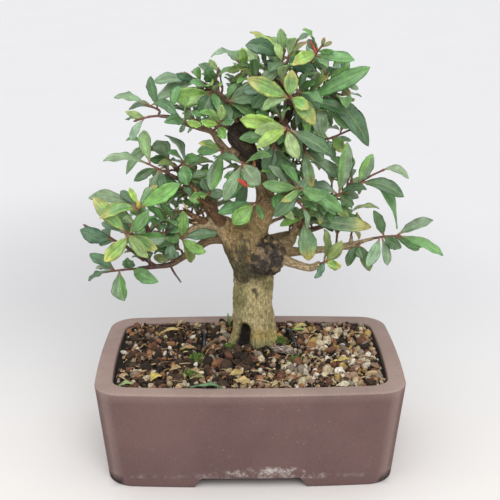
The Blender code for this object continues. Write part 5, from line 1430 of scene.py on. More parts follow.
def in_crown(point):
    """Whether a point is seen inside the crown's edge and outside the windows of bare wood."""
    x, z = seen_place(point)
    inside = False
    for (first_x, first_z), (second_x, second_z) in zip(CROWN_EDGE, CROWN_EDGE[1:] + CROWN_EDGE[:1]):
        if (first_z > z) == (second_z > z):
            continue
        if x < first_x + (z - first_z) * (second_x - first_x) / (second_z - first_z):
            inside = not inside
    bare = any(low_x < x < high_x and low_z < z < high_z for low_x, high_x, low_z, high_z in BARE_WINDOWS)
    return inside and not bare


def spur_line(rng, points, radii):
    """A short twig that leaves a limb sideways and a little upwards."""
    place, step = along_line(points, rng.uniform(0.12, 1.0))
    _, index, fraction, _ = nearest_on_line(place, points)
    radius = radius_on(radii, index, fraction)
    side = side_of(step)
    turn = rng.uniform(0, 2 * math.pi)
    out = unit(side * math.cos(turn) + np.cross(side, step) * math.sin(turn) + 0.3 * UP + 0.3 * step)
    length = rng.uniform(*SPUR_LENGTH)
    bend = rng.normal(0, 0.12, 3) * length
    foot = place + out * radius
    return np.array([foot, foot + out * length * 0.55 + bend, foot + out * length])


def fits(space, owner, leaf):
    """Whether a spur's leaf is seen in the crown and keeps its room from wood and leaves."""
    if not in_crown(leaf["tip"]) or not in_crown((leaf["tip"] + leaf["base"]) / 2):
        return False
    if not SPUR_DEPTHS[0] < leaf["tip"][1] < SPUR_DEPTHS[1]:
        return False
    return has_room(space, owner, leaf)


def has_room(space, owner, leaf):
    """Whether a spur's leaf keeps its room from wood, from other sprays and from its own spur's leaves."""
    points = leaf_samples(leaf)
    if space.wood_room(points) <= SPUR_ROOM["wood"]:
        return False
    if space.leaf_room(owner, points) <= SPUR_ROOM["leaf"]:
        return False
    return space.own_room(owner, leaf_samples(leaf, SHARED_SHARE)) > SPUR_ROOM["own"]


def spur_leaves(rng, space, owner, line):
    """The leaves of one spur, in opposite pairs from its tip down."""
    leaves = []
    start = rng.uniform(0, 2 * math.pi)
    for number in range(rng.integers(*SPUR_LEAVES)):
        pair, second = divmod(number, 2)
        turn = start + math.pi * second + math.pi / 2 * pair
        turn += rng.uniform(-RULE_TURN_JITTER, RULE_TURN_JITTER)
        opening = math.radians(rng.uniform(*SPUR_OPENING))
        length, ratio = rng.uniform(*SPUR_LEAF_LENGTH), rng.uniform(*SPUR_RATIO)
        draws = (1.0 - SPUR_PAIR_STEP * pair, turn, opening, length, ratio, 0.0)
        trials = (grown_leaf(line, draws, attempt) for attempt in range(SPUR_LEAF_TRIES))
        leaf = next((trial for trial in trials if fits(space, owner, trial)), None)
        if leaf is None:
            continue
        leaves.append(leaf)
        space.add_leaf(owner, leaf)
    return leaves


def named_spurs(form, rng, wood, space):
    """Adds the spurs whose places were read off the front view, where there is room for them."""
    for number, (limb, target, entries, kinds) in enumerate(NAMED_SPURS):
        owner = f"named_spur_{number}"
        target = seen(*target)
        line = np.array([twig_start(target, *wood[limb]), target])
        add_twig(form, line)
        for entry, kind in zip(entries, kinds.split(), strict=True):
            trials = list(view_trials(line, entry))[:SPUR_VIEW_TRIES]
            leaf = next((trial for trial in trials if has_room(space, owner, trial)), None)
            if leaf is None:
                continue
            space.add_leaf(owner, leaf)
            add_leaf_body(form, leaf, kind, rng, mesh=SPUR_BLADE_MESH)


def make_spurs(wood, space, finishes):
    """Short leafy spurs on the limbs, which fill the crown between the measured sprays."""
    rng = np.random.default_rng(SPUR_SEED)
    names = [name for name in wood if name not in SPURLESS]
    lengths = np.array([np.linalg.norm(np.diff(wood[name][0], axis=0), axis=1).sum() for name in names])
    form = Form()
    named_spurs(form, rng, wood, space)
    made = 0
    for number in range(SPUR_TRIES):
        if made == SPUR_COUNT:
            break
        line = spur_line(rng, *wood[rng.choice(names, p=lengths / lengths.sum())])
        samples = line_samples(line[1:], 1.0)
        if not in_crown(line[-1]) or space.leaf_room("", samples) <= SPUR_ROOM["leaf"]:
            continue
        leaves = spur_leaves(rng, space, f"spur_{number}", line)
        if not leaves:
            continue
        space.add(f"spur_{number}", samples)
        made += 1
        add_twig(form, line)
        for leaf in leaves:
            add_leaf_body(form, leaf, rule_kind(rng), rng, mesh=SPUR_BLADE_MESH)
    form.make("inner_foliage", [finishes["leaf"], finishes["twig"]])


def make_shoots(finishes):
    """Buds and the few red young shoots."""
    form = Form()
    for foot, tip, radius, colour in SHOOTS:
        line = np.linspace(seen(*foot), seen(*tip), 7)
        share = np.linspace(0, 1, 7)
        radii = radius * (0.75 + 0.5 * np.sin(share * math.pi)) * (1 - 0.8 * share ** 3)
        form.add_rings(tube_rings(line, radii, 10), linear(colour))
    form.make("buds_and_young_shoots", [finishes["shoot"]])


# Wood


def flute(angle, z, radius):
    """Distance of the bark from the trunk's middle, with twisted flutes and lobed roots."""
    ground = TRUNK[1][2]
    turn = TWIST_PER_MM * max(z - ground, 0.0)
    lobes = math.exp(-max(z - ground, 0.0) / ROOT_FADE)
    wave = sum(share * math.cos(count * (angle - turn) + phase) for count, share, phase in FLUTE_WAVES)
    root = ROOT_DEPTH * lobes * math.cos(ROOT_LOBES * angle + ROOT_PHASE)
    return radius * (1 + FLUTE_DEPTH * wave * (1 - lobes) + root)


def trunk_rings():
    """The trunk's fluted rings, from below the soil to the crotch."""
    rows = smooth_line(TRUNK, 5)
    angles = round_angles(TRUNK_TURNS)
    rings = []
    for x, y, z, radius in rows:
        reach = np.array([flute(angle, z, radius) for angle in angles])
        rings.append(np.stack([x + reach * np.cos(angles), y + reach * np.sin(angles),
                               np.full(len(angles), z)], -1))
    return np.array(rings)


def limb_rings(points, radii):
    """A limb's rings: smooth between its points, with ridges that wind round the thicker ones."""
    rows = smooth_line(np.column_stack([points, radii]), 5)
    line, sizes = rows[:, :3], np.maximum(rows[:, 3], LEAST_LIMB)
    sides = LIMB_SIDES[0] if sizes[0] > THICK_LIMB else LIMB_SIDES[1]
    rings = tube_rings(line, sizes, sides)
    runs = passed_lengths(line)
    angles = round_angles(sides)
    depth = RIDGE_DEPTH * np.clip((sizes - 2.0) / 4, 0, 1)
    ridge = 1 + depth[:, None] * np.cos(3 * angles[None, :] - RIDGE_TURN * runs[:, None])
    return line[:, None, :] + (rings - line[:, None, :]) * ridge[..., None]


def ball(levels):
    """Points and triangles of a ball of radius 1, cut finer at each level."""
    mesh = bpy.data.meshes.new("ball")
    shape = bmesh.new()
    bmesh.ops.create_icosphere(shape, subdivisions=levels, radius=1.0)
    shape.to_mesh(mesh)
    shape.free()
    points = np.array([vertex.co for vertex in mesh.vertices])
    faces = np.array([tuple(face.vertices) for face in mesh.polygons])
    bpy.data.meshes.remove(mesh)
    return points, faces


def raw_wood(wood):
    """All the wood as overlapping closed bodies, ready to be joined into one skin."""
    form = Form()
    form.add_rings(trunk_rings(), 0.0)
    for name, (points, radii) in wood.items():
        if name in ("trunk", "burl"):
            continue
        form.add_rings(limb_rings(points, radii), 0.0)
    points, faces = ball(4)
    bumps = swell(points, BURL_WAVES)[:, None]
    form.add(np.array(BURL_CENTRE) + points * BURL_RADIUS * bumps, [faces], 0.0)
    for *centre, radius in BURL_LOBES:
        form.add(np.array(centre) + points * radius, [faces], 0.0)
    return form.make("raw_wood", [])


def joined_skin(raw):
    """The raw wood remeshed into one even skin and smoothed a little; the raw object is removed."""
    remesh = raw.modifiers.new("join", "REMESH")
    remesh.mode = "VOXEL"
    remesh.voxel_size = BARK_VOXEL * MM
    soften = raw.modifiers.new("soften", "SMOOTH")
    soften.factor = 0.5
    soften.iterations = BARK_SMOOTHING
    graph = bpy.context.evaluated_depsgraph_get()
    mesh = bpy.data.meshes.new_from_object(raw.evaluated_get(graph))
    bpy.data.objects.remove(raw)
    return mesh


def nearest_wood(points, wood):
    """For each point its wood's number, the radius there, how far along it lies and its offset from it."""
    names = list(wood)
    starts, runs, sizes, owners, before = [], [], [], [], []
    for number, (line, radii) in enumerate(wood.values()):
        passed = 0.0
        for index in range(len(line) - 1):
            starts.append(line[index])
            runs.append(line[index + 1] - line[index])
            sizes.append((radii[index], radii[index + 1]))
            owners.append(number)
            before.append(passed)
            passed += np.linalg.norm(runs[-1])
    starts, runs, sizes = np.array(starts), np.array(runs), np.array(sizes)
    lengths = np.linalg.norm(runs, axis=1)
    found = {"owner": [], "radius": [], "along": [], "offset": [], "axis": []}
    for chunk in np.array_split(points, max(1, len(points) // 4000)):
        gap = chunk[:, None, :] - starts[None]
        share = np.clip(np.einsum("ijk,jk->ij", gap, runs) / lengths ** 2, 0, 1)
        away = gap - runs[None] * share[..., None]
        radius = sizes[:, 0] + (sizes[:, 1] - sizes[:, 0]) * share
        best = np.argmin(np.linalg.norm(away, axis=2) - radius, axis=1)
        row = np.arange(len(chunk))
        found["owner"].append(np.array(owners)[best])
        found["radius"].append(radius[row, best])
        found["along"].append(np.array(before)[best] + share[row, best] * lengths[best])
        found["offset"].append(away[row, best])
        found["axis"].append(runs[best] / lengths[best][:, None])
    result = {key: np.concatenate(value) for key, value in found.items()}
    result["names"] = names
    return result


def noise_at(points, scale, octaves=3):
    """Fractal noise for many points, about -1 to 1."""
    return np.array([noise.fractal(Vector(point) * scale, 0.9, 2.0, octaves) for point in points])


def bark_tints(points, near):
    """The wood's colours: tan-olive trunk, dark burl and twisted crown, brown limbs, purple twigs."""
    names = np.array(near["names"])[near["owner"]]
    z = points[:, 2]
    tint = np.broadcast_to(linear(BARK_TINTS["limb"]), points.shape).copy()
    thin = smooth_step(near["radius"], 2.4, 1.4)
    tint = blend(tint, linear(BARK_TINTS["thin"]), thin)
    trunk = blend(linear(BARK_TINTS["trunk"]), linear(BARK_TINTS["crotch"]), smooth_step(z, *CROTCH_FADE))
    tint = np.where((names == "trunk")[:, None], trunk, tint)
    crown = linear(BARK_TINTS["crotch"])
    for kind, low, high in CROWN_STEPS:
        crown = blend(crown, linear(BARK_TINTS[kind]), smooth_step(z, low, high))
    tint = np.where((names == "crown")[:, None], crown, tint)
    tint = np.where((names == "twist_strand")[:, None], linear(BARK_TINTS["crown_high"]), tint)
    for name in SPLINTER_LINES:
        tint = np.where((names == name)[:, None], linear(BARK_TINTS["stub"]), tint)
    for name in LIGHT_LIMBS:
        tint = blend(tint, linear(BARK_TINTS["light_limb"]), 0.8 * (names == name))
    ragged = noise_at(points, 0.28, 4)
    tint = blend(tint, linear(TRUNK_GREEN), 0.42 * smooth_step(ragged, 0.1, 0.5) * (names == "trunk"))
    tint = blend(tint, linear(TRUNK_FOOT_GREEN), 0.5 * smooth_step(z, 74, 62) * (names == "trunk"))
    x, z = seen_place(points.T)
    facing = near["offset"][:, 1] < 0.3 * near["radius"]
    for patch_x, patch_z, reach_x, reach_z, colour in BARK_PATCHES:
        far = np.hypot((x - patch_x) / reach_x, (z - patch_z) / reach_z) + 0.6 * ragged
        tint = blend(tint, linear(colour), 0.85 * smooth_step(far, 1.45, 0.45) * facing)
    return blend(tint, linear(BARK_TINTS["burl"]), smooth_step(burl_gap(points) + 0.9 * ragged, 1.2, -0.4))


def burl_gap(points):
    """How far points lie outside the burl's ball and lobes."""
    gap = np.linalg.norm(points - np.array(BURL_CENTRE), axis=1) - BURL_RADIUS
    for *centre, radius in BURL_LOBES:
        gap = np.minimum(gap, np.linalg.norm(points - np.array(centre), axis=1) - radius)
    return gap


def hollow_share(points):
    """How deep a point lies in the hollow between two roots at the trunk's front, which is sunk and painted
    dark with shade.
    """
    x, y, z = points[:, 0] - TRUNK[1][0], points[:, 1] - TRUNK[1][1], points[:, 2]
    turn = np.arctan2(y, x) - HOLLOW_ANGLE
    wide = HOLLOW_WIDTH * np.clip((HOLLOW_TOP + 3 - z) / 8, 0.3, 1)
    return np.exp(-(turn / wide) ** 4) * smooth_step(z, HOLLOW_TOP, HOLLOW_TOP - 4) * (np.hypot(x, y) < 24)


def make_wood(wood, finishes):
    """Trunk, burl and branches as one skin with raised bark, in place of the plain trunk."""
    mesh = joined_skin(raw_wood(wood))
    points = mesh_points(mesh)
    near = nearest_wood(points, wood)
    length = (near["axis"] * near["offset"]).sum(axis=1)[:, None] * near["axis"]
    spots = near["offset"] - length + near["axis"] * (near["along"] * BARK_STRETCH)[:, None]
    spots = spots + near["owner"][:, None] * np.array([3.7, 1.9, 5.3])
    out = near["offset"] / np.maximum(np.linalg.norm(near["offset"], axis=1), 1e-6)[:, None]
    relief = noise_at(spots, 0.42) * BARK_RELIEF * np.clip(near["radius"] / 7, 0.12, 1.4)
    burl = smooth_step(burl_gap(points), 2.0, -1.0)
    relief = relief + burl * BURL_RELIEF * noise_at(points, 0.3, 4)
    hollow = hollow_share(points)
    moved = points + out * (relief - HOLLOW_DEPTH * hollow)[:, None]
    mesh.vertices.foreach_set("co", (moved * MM + SHIFT).astype(np.float32).ravel())
    mesh.polygons.foreach_set("use_smooth", np.full(len(mesh.polygons), True))
    mesh.update()
    forget(mesh)
    tints = bark_tints(points, near)
    # painted shade in the hollow between two roots
    tints = blend(tints, linear(HOLLOW_SHADE_TINT), np.clip(hollow * 1.3, 0, 1))
    carry(mesh, tints, spots)
    made = place("wood", mesh, [finishes["bark"]])
    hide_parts("trunk")


def make_splinters(wood, finishes):
    """Torn fibres at the ends of the dead stubs and on top of the burl."""
    rng = np.random.default_rng(FORM_SEED + 1)
    form = Form()
    feet = []
    for name in SPLINTER_LINES:
        line = wood[name][0]
        for _ in range(STUB_SPLINTERS):
            along = rng.uniform(0.25, 1.0)
            foot, heading = along_line(line, along)
            foot = foot + rng.normal(0, 1.0, 3) * (1.1 - along)
            feet.append((foot, heading, rng.uniform(3.0, 8.5)))
    for _ in range(BURL_SPLINTERS):
        angle = rng.uniform(0.15, math.pi - 0.15)
        out = np.array([math.cos(angle), -0.35, math.sin(angle)])
        foot = np.array(BURL_CENTRE) + out * BURL_RADIUS * 0.85
        feet.append((foot, unit(out + UP * 0.4), rng.uniform(1.5, 3.5)))
    for foot, heading, length in feet:
        heading = unit(heading + rng.normal(0, 0.28, 3))
        end = foot + heading * length + rng.normal(0, 0.4, 3)
        line = np.array([foot, foot + heading * length * 0.6, end])
        rings = tube_rings(line, np.array([0.7, 0.5, 0.1]) * rng.uniform(0.6, 1.5), 5)
        tint = linear(SPLINTER_TINTS[rng.integers(len(SPLINTER_TINTS))]) * rng.uniform(0.7, 1.3)
        form.add_rings(rings, tint, rings * 0.4)
    form.make("stub_splinters", [finishes["twig"]])


# Pot and soil


def pot_outline(half, corner, z, turns):
    """A rounded rectangle whose sides bow outwards, as evenly turned points at one height."""
    angles = round_angles(turns)
    flat_x, flat_y = half[0] - corner, half[1] - corner
    reach_x, reach_y = np.cos(angles), np.sin(angles)
    sharp = 1 / np.maximum(np.abs(reach_x) / half[0], np.abs(reach_y) / half[1])
    x, y = reach_x * sharp, reach_y * sharp
    past_x, past_y = np.abs(x) - flat_x, np.abs(y) - flat_y
    in_corner = (past_x > 0) & (past_y > 0)
    size = np.hypot(past_x, past_y)
    pull = np.where(in_corner, corner / np.maximum(size, 1e-9), 1.0)
    far_x = np.where(in_corner, flat_x + past_x * pull, np.abs(x))
    far_y = np.where(in_corner, flat_y + past_y * pull, np.abs(y))
    bow_y = SIDE_BOW * np.clip(1 - (x / flat_x) ** 2, 0, 1) * (past_y > -1e-6) * ~in_corner
    bow_x = 0.5 * SIDE_BOW * np.clip(1 - (y / flat_y) ** 2, 0, 1) * (past_x > -1e-6) * ~in_corner
    return np.stack([np.sign(x) * (far_x + bow_x), np.sign(y) * (far_y + bow_y),
                     np.full(turns, float(z))], -1)


def inner_half(z):
    """Half sizes of the pot's hollow at a height."""
    share = (z - POT_FLOOR) / (POT_HEIGHT - POT_FLOOR)
    return [low + (rim - RIM_WALL - low) * share for low, rim in zip(INNER_FLOOR_HALF, RIM_HALF)]


def pot_profile():
    """The pot's outlines from its foot up outside, over the rounded lip and down to its inner floor."""
    rows = []
    for share in np.concatenate(([0.0, 0.012], np.linspace(0.03, 1.0, 12))):
        z = share * (POT_HEIGHT - RIM_EDGE)
        half = [low + (high - low) * share for low, high in zip(FOOT_HALF, RIM_HALF)]
        tuck = 0.5 * (share == 0)
        rows.append(([size - tuck for size in half], CORNER_RADIUS, z))
    for step in range(1, LIP_STEPS + 1):
        angle = math.pi / 2 * step / LIP_STEPS
        inset = RIM_EDGE * (1 - math.cos(angle))
        rows.append(([size - inset for size in RIM_HALF], CORNER_RADIUS - inset,
                     POT_HEIGHT - RIM_EDGE + RIM_EDGE * math.sin(angle)))
    for step in range(LIP_STEPS + 1):
        angle = math.pi / 2 * step / LIP_STEPS
        widening = RIM_EDGE * (1 - math.sin(angle))
        inset = RIM_WALL - widening
        rows.append(([size - inset for size in RIM_HALF], INNER_CORNER_RADIUS + widening,
                     POT_HEIGHT - RIM_EDGE * (1 - math.cos(angle))))
    for share in (0.75, 0.5, 0.25, 0.0):
        z = POT_FLOOR + (POT_HEIGHT - RIM_EDGE - POT_FLOOR) * share
        rows.append((inner_half(z) if share else INNER_FLOOR_HALF, INNER_CORNER_RADIUS, z))
    return rows


def solid_box(name, low, high, clay):
    """A box that cuts the clay."""
    corners = [(low[0], low[1]), (high[0], low[1]), (high[0], high[1]), (low[0], high[1])]
    form = Form()
    form.add_rings(np.array([[(x, y, z) for x, y in corners] for z in (low[2], high[2])], float), 0.0)
    return form.make(name, [clay])


def foot_gap(name, top, bottom, across_x, clay):
    """A cutter with sloped ends that opens the space between the feet."""
    reach = 2 * RIM_HALF[0]
    outline = [(-bottom, -CUT_PAST), (bottom, -CUT_PAST), (top, FOOT_HEIGHT), (-top, FOOT_HEIGHT)]
    form = Form()
    if across_x:
        rings = np.array([[(end, wide, z) for wide, z in outline] for end in (-reach, reach)], float)
    else:
        rings = np.array([[(wide, -end, z) for wide, z in outline] for end in (-reach, reach)], float)
    form.add_rings(rings, 0.0)
    return form.make(name, [clay])


def drain_hole(x, clay):
    """A round cutter through the pot's floor."""
    form = Form()
    line = np.array([(x, 0, FOOT_HEIGHT - CUT_PAST), (x, 0, POT_FLOOR + CUT_PAST)])
    form.add_rings(tube_rings(line, [DRAIN_DIAMETER / 2] * 2, 40), 0.0)
    return form.make("drain_hole", [clay])


def cut_and_bevel(made, cutters):
    """Cuts the object by the cutters, rounds its sharp edges, and removes the cutters."""
    for number, cutter in enumerate(cutters):
        cut = made.modifiers.new(f"cut_{number}", "BOOLEAN")
        cut.operation = "DIFFERENCE"
        cut.solver = "EXACT"
        cut.object = cutter
    bevel = made.modifiers.new("bevel", "BEVEL")
    bevel.width = FOOT_BEVEL * MM
    bevel.segments = 2
    bevel.limit_method = "ANGLE"
    bevel.angle_limit = math.radians(50)
    graph = bpy.context.evaluated_depsgraph_get()
    mesh = bpy.data.meshes.new_from_object(made.evaluated_get(graph))
    made.modifiers.clear()
    made.data = mesh
    for cutter in cutters:
        bpy.data.objects.remove(cutter)


def clay_tints(points):
    """Clay, with a painted highlight along the top of the rim and down the rounded corners, and painted shade
    on the inner wall below the rim and on the underside between the feet.
    """
    # painted highlight on the top of the rim, where it faces the light
    rim = smooth_step(points[:, 2], POT_HEIGHT - 1.6, POT_HEIGHT - 0.4)
    share = points[:, 2] / POT_HEIGHT
    past = []
    for axis, (low, high) in enumerate(zip(FOOT_HALF, RIM_HALF)):
        past.append(np.abs(points[:, axis]) - (low + (high - low) * share - CORNER_RADIUS))
    from_edge = np.where((past[0] > 0) & (past[1] > 0), np.hypot(*past), np.maximum(*past))
    inside = from_edge < CORNER_RADIUS - RIM_WALL / 2
    # painted shade on the inner wall below the rim
    inner_wall_shade = inside * smooth_step(points[:, 2], POT_HEIGHT - 0.6, POT_HEIGHT - 2.0)
    tints = np.broadcast_to(linear(CLAY_TINT), points.shape)
    # painted highlight down the rounded corners
    round_corner = (past[0] > 0) & (past[1] > 0) & ~inside
    turn = np.degrees(np.arctan2(past[0], past[1]))
    painted_corner_highlight = round_corner * np.exp(-((turn - CORNER_HIGHLIGHT_TURN) / CORNER_HIGHLIGHT_REACH) ** 2)
    tints = blend(tints, linear(CLAY_PAINTED_HIGHLIGHT_TINT), CORNER_HIGHLIGHT_SHARE * painted_corner_highlight)
    # painted shade on the underside of the pot, between its feet
    shade_under_pot = (points[:, 2] < FOOT_HEIGHT + 0.1) & (np.abs(points[:, 0]) < FOOT_HALF[0] - 1.5)
    shade_under_pot &= np.abs(points[:, 1]) < FOOT_HALF[1] - 1.5
    tints = blend(tints, linear(POT_UNDERSIDE_SHADE_TINT), shade_under_pot)
    return blend(blend(tints, linear(INNER_WALL_SHADE_TINT), inner_wall_shade), linear(CLAY_PAINTED_HIGHLIGHT_TINT), rim)


def make_pot(finishes):
    """The clay pot with its rounded lip, sloped feet and drainage holes."""
    rings = np.array([pot_outline(half, corner, z, POT_TURNS) for half, corner, z in pot_profile()])
    form = Form()
    form.add_rings(rings, 0.0)
    clay = finishes["clay"]
    made = form.make("clay_pot", [clay])
    hollow = [size - FOOT_WALL for size in FOOT_HALF]
    cutters = [foot_gap("front_gap", FRONT_GAP_TOP, FRONT_GAP_BOTTOM, False, clay),
               foot_gap("side_gap", SIDE_GAP_TOP, SIDE_GAP_BOTTOM, True, clay),
               solid_box("foot_hollow", (-hollow[0], -hollow[1], -CUT_PAST), (*hollow, FOOT_HEIGHT), clay),
               drain_hole(-DRAIN_SPACING / 2, clay), drain_hole(DRAIN_SPACING / 2, clay)]
    cut_and_bevel(made, cutters)
    mesh = made.data
    points = mesh_points(mesh)
    forget(mesh)
    carry(mesh, clay_tints(points), points)
    mesh.shade_smooth()
    mesh.set_sharp_from_angle(angle=math.radians(45))
    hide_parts("pot")


def soil_height(x, y):
    """The soil's level without its grains, higher at the trunk and towards the back."""
    spread = ((x - TRUNK[0][0]) ** 2 + (y - TRUNK[0][1]) ** 2) / (2 * MOUND_REACH ** 2)
    back = np.clip((y - BACK_RISE_FROM) / (BACK_RISE_TO - BACK_RISE_FROM), 0, 1)
    return SOIL_LEVEL + MOUND_HEIGHT * np.exp(-spread) + BACK_RISE * back


def make_soil_bed(finishes):
    """The dark fines between the grains, closed down to the pot's floor."""
    half = [size - SEAT_GAP for size in inner_half(SOIL_LEVEL)]
    corner = INNER_CORNER_RADIUS - SEAT_GAP
    floor = POT_FLOOR + SEAT_GAP
    low_half = [size - SEAT_GAP for size in inner_half(floor)]
    bottom = pot_outline(low_half, corner, floor, SOIL_TURNS)
    edge = pot_outline(half, corner, 0.0, SOIL_TURNS)
    rings = [bottom * np.array([0.02, 0.02, 1.0]), bottom]
    for share in np.linspace(1.0, 0.01, SOIL_ROWS):
        ring = edge * share
        rough = noise_at(ring, 0.55, 4)
        ring[:, 2] = soil_height(ring[:, 0], ring[:, 1]) - 0.7 + 0.8 * rough
        rings.append(ring)
    rings = np.array(rings)
    tone = 1 + 0.35 * noise_at(rings.reshape(-1, 3), 0.3, 3).reshape(rings.shape[:2])
    form = Form()
    form.add_rings(rings, linear(SOIL_TINT) * np.clip(tone, 0.4, 1.8)[..., None])
    made = form.make("soil_bed", [finishes["stone"]])
    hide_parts("soil")


def inside_bed(x, y, room):
    """Whether points lie on the soil, a given room inside its edge and clear of the trunk."""
    half = [size - room for size in inner_half(SOIL_LEVEL)]
    corner = INNER_CORNER_RADIUS
    past_x, past_y = np.abs(x) - half[0] + corner, np.abs(y) - half[1] + corner
    inside = (np.abs(x) < half[0]) & (np.abs(y) < half[1])
    inside &= np.hypot(np.maximum(past_x, 0), np.maximum(past_y, 0)) < corner
    return inside & (np.hypot(x - TRUNK[1][0], y - TRUNK[1][1]) > TRUNK[1][3] + 0.3)


def clear_of_things(x, y, room):
    """Whether points keep a given room from the chip and the wires, and off the moss."""
    turn = math.radians(-CHIP_TURN)
    from_x, from_y = x - CHIP_CENTRE[0], y - CHIP_CENTRE[1]
    along = from_x * math.cos(turn) - from_y * math.sin(turn)
    across = from_x * math.sin(turn) + from_y * math.cos(turn)
    clear = np.hypot(along / (CHIP_SIZE[0] / 2 + room), across / (CHIP_SIZE[1] / 2 + room)) > 1
    for feet in WIRES.values():
        for foot_x, foot_y in feet:
            clear &= np.hypot(x - foot_x, y - foot_y) > WIRE_RADIUS + room
    for moss_x, moss_y, reach_x, reach_y, _ in MOSS:
        clear &= np.hypot((x - moss_x) / reach_x, (y - moss_y) / reach_y) > MOSS_CORE
    return clear


def lightness(x, y):
    """0 in the dark mossy part at the trunk and on the left, 1 in the light part on the right and front."""
    share = smooth_step(x - 0.25 * y, *LIGHT_SPAN)
    shade = np.exp(-((x - DARK_MIDDLE[0]) ** 2 + (y - DARK_MIDDLE[1]) ** 2) / (2 * DARK_REACH ** 2))
    return np.clip(share + FRONT_LIGHT * smooth_step(-y, *FRONT_LIGHT_SPAN) - DARK_DEPTH * shade, 0, 1)


def random_turns(rng, count):
    """Random rotation matrices."""
    turns = rng.normal(size=(count, 4))
    w, x, y, z = (turns / np.linalg.norm(turns, axis=1)[:, None]).T
    return np.stack([
        np.stack([1 - 2 * (y * y + z * z), 2 * (x * y - z * w), 2 * (x * z + y * w)], -1),
        np.stack([2 * (x * y + z * w), 1 - 2 * (x * x + z * z), 2 * (y * z - x * w)], -1),
        np.stack([2 * (x * z - y * w), 2 * (y * z + x * w), 1 - 2 * (x * x + y * y)], -1)], 1)


def grain_tints(rng, x, y):
    """A colour for each grain, drawn by how light its part of the bed is."""
    colours = linear(np.array([colour for colour, _, _ in GRAIN_TINTS]))
    dark = np.array([weight for _, weight, _ in GRAIN_TINTS])
    light = np.array([weight for _, _, weight in GRAIN_TINTS])
    share = LIGHT_SIDE_SHARE * lightness(x, y)[:, None]
    chances = dark / dark.sum() * (1 - share) + light / light.sum() * share
    pick = (rng.uniform(size=(len(x), 1)) > np.cumsum(chances, axis=1)).sum(axis=1)
    pick = np.minimum(pick, len(colours) - 1)
    return colours[pick] * rng.uniform(0.78, 1.2, (len(x), 1))


def make_grains(finishes):
    """Loose grains in three sizes, each a worn lump of its own shape, turn and colour."""
    rng = np.random.default_rng(GRAIN_SEED)
    for name, (small, large, count, levels) in GRAIN_SIZES.items():
        points, faces = ball(levels)
        half = inner_half(SOIL_LEVEL)
        x = rng.uniform(-half[0], half[0], count * 2)
        y = rng.uniform(-half[1], half[1], count * 2)
        keep = np.flatnonzero(inside_bed(x, y, 0.5 * large) & clear_of_things(x, y, 0.5 * large))[:count]
        x, y = x[keep], y[keep]
        size = rng.uniform(small, large, len(x)) / 2
        stretch = size[:, None] * np.stack([rng.uniform(0.9, 1.25, len(x)), rng.uniform(0.75, 1.05, len(x)),
                                            rng.uniform(0.6, 0.9, len(x))], -1)
        lumps = rng.normal(0, 1.9, (len(x), 3, 3))
        phases = rng.uniform(0, 2 * math.pi, (len(x), 3))
        rough = 1 + 0.11 * np.sin(np.einsum("gkj,pj->gkp", lumps, points) + phases[..., None]).sum(axis=1)
        shape = points[None] * rough[..., None] * stretch[:, None, :]
        shape = np.einsum("gij,gpj->gpi", random_turns(rng, len(x)), shape)
        z = soil_height(x, y) + size * rng.uniform(-0.35, 0.55, len(x))
        shape = shape + np.stack([x, y, z], -1)[:, None, :]
        tints = np.repeat(grain_tints(rng, x, y), len(points), axis=0)
        all_faces = (faces[None] + (np.arange(len(x)) * len(points))[:, None, None]).reshape(-1, 3)
        form = Form()
        form.add(shape, [all_faces], tints)
        form.make(name, [finishes["stone"]], levels > 1)


def make_slivers(finishes):
    """Straw, bark shreds and rootlets that lie among the grains."""
    rng = np.random.default_rng(GRAIN_SEED + 1)
    half = inner_half(SOIL_LEVEL)
    form = Form()
    for _ in range(SLIVERS):
        x, y = rng.uniform(-half[0], half[0]), rng.uniform(-half[1], half[1])
        heading, length = rng.uniform(0, 2 * math.pi), rng.uniform(3, 10)
        bend = rng.uniform(-0.5, 0.5)
        radius = rng.uniform(0.16, 0.42)
        tint = linear(SLIVER_TINTS[rng.integers(len(SLIVER_TINTS))])
        share = np.linspace(-0.5, 0.5, 6)
        line_x = x + share * length * math.cos(heading) - bend * share ** 2 * length * math.sin(heading)
        line_y = y + share * length * math.sin(heading) + bend * share ** 2 * length * math.cos(heading)
        if not inside_bed(line_x, line_y, 1.5).all():
            continue
        z = soil_height(line_x, line_y) + 1.1 + rng.uniform(-0.4, 0.8) + 0.25 * length * (0.25 - share ** 2)
        rings = tube_rings(np.stack([line_x, line_y, z], -1), radius * (1.1 - 1.2 * np.abs(share)), 5)
        form.add_rings(rings, tint * rng.uniform(0.7, 1.2))
    form.make("straw_and_rootlets", [finishes["litter"]])


def make_roots(finishes):
    """Half-buried roots and sticks."""
    form = Form()
    for path, (thick, thin), colour in ROOTS:
        flat = smooth_line(np.array(path, float), 8)
        share = np.linspace(0, 1, len(flat))
        z = soil_height(flat[:, 0], flat[:, 1]) + 0.9 + 0.5 * np.sin(share * 9 + thick)
        z = z - 2.6 * smooth_step(np.abs(share - 0.5), 0.38, 0.5)
        line = np.column_stack([flat, z])
        radii = (thick + (thin - thick) * share) * (1 + 0.12 * np.sin(share * 31))
        rings = tube_rings(line, radii, 12)
        form.add_rings(rings, linear(colour), rings * np.array([0.3, 0.3, 0.8]))
    for x, y in POSTS:
        line = np.array([(x, y, soil_height(x, y) - 2.0), (x, y, POST_TOP - 0.4), (x, y, POST_TOP)])
        rings = tube_rings(line, np.array([POST_RADIUS, POST_RADIUS, 0.7 * POST_RADIUS]), 12)
        form.add_rings(rings, linear(POST_TINT), rings * 0.3)
    form.make("surface_roots", [finishes["twig"]])


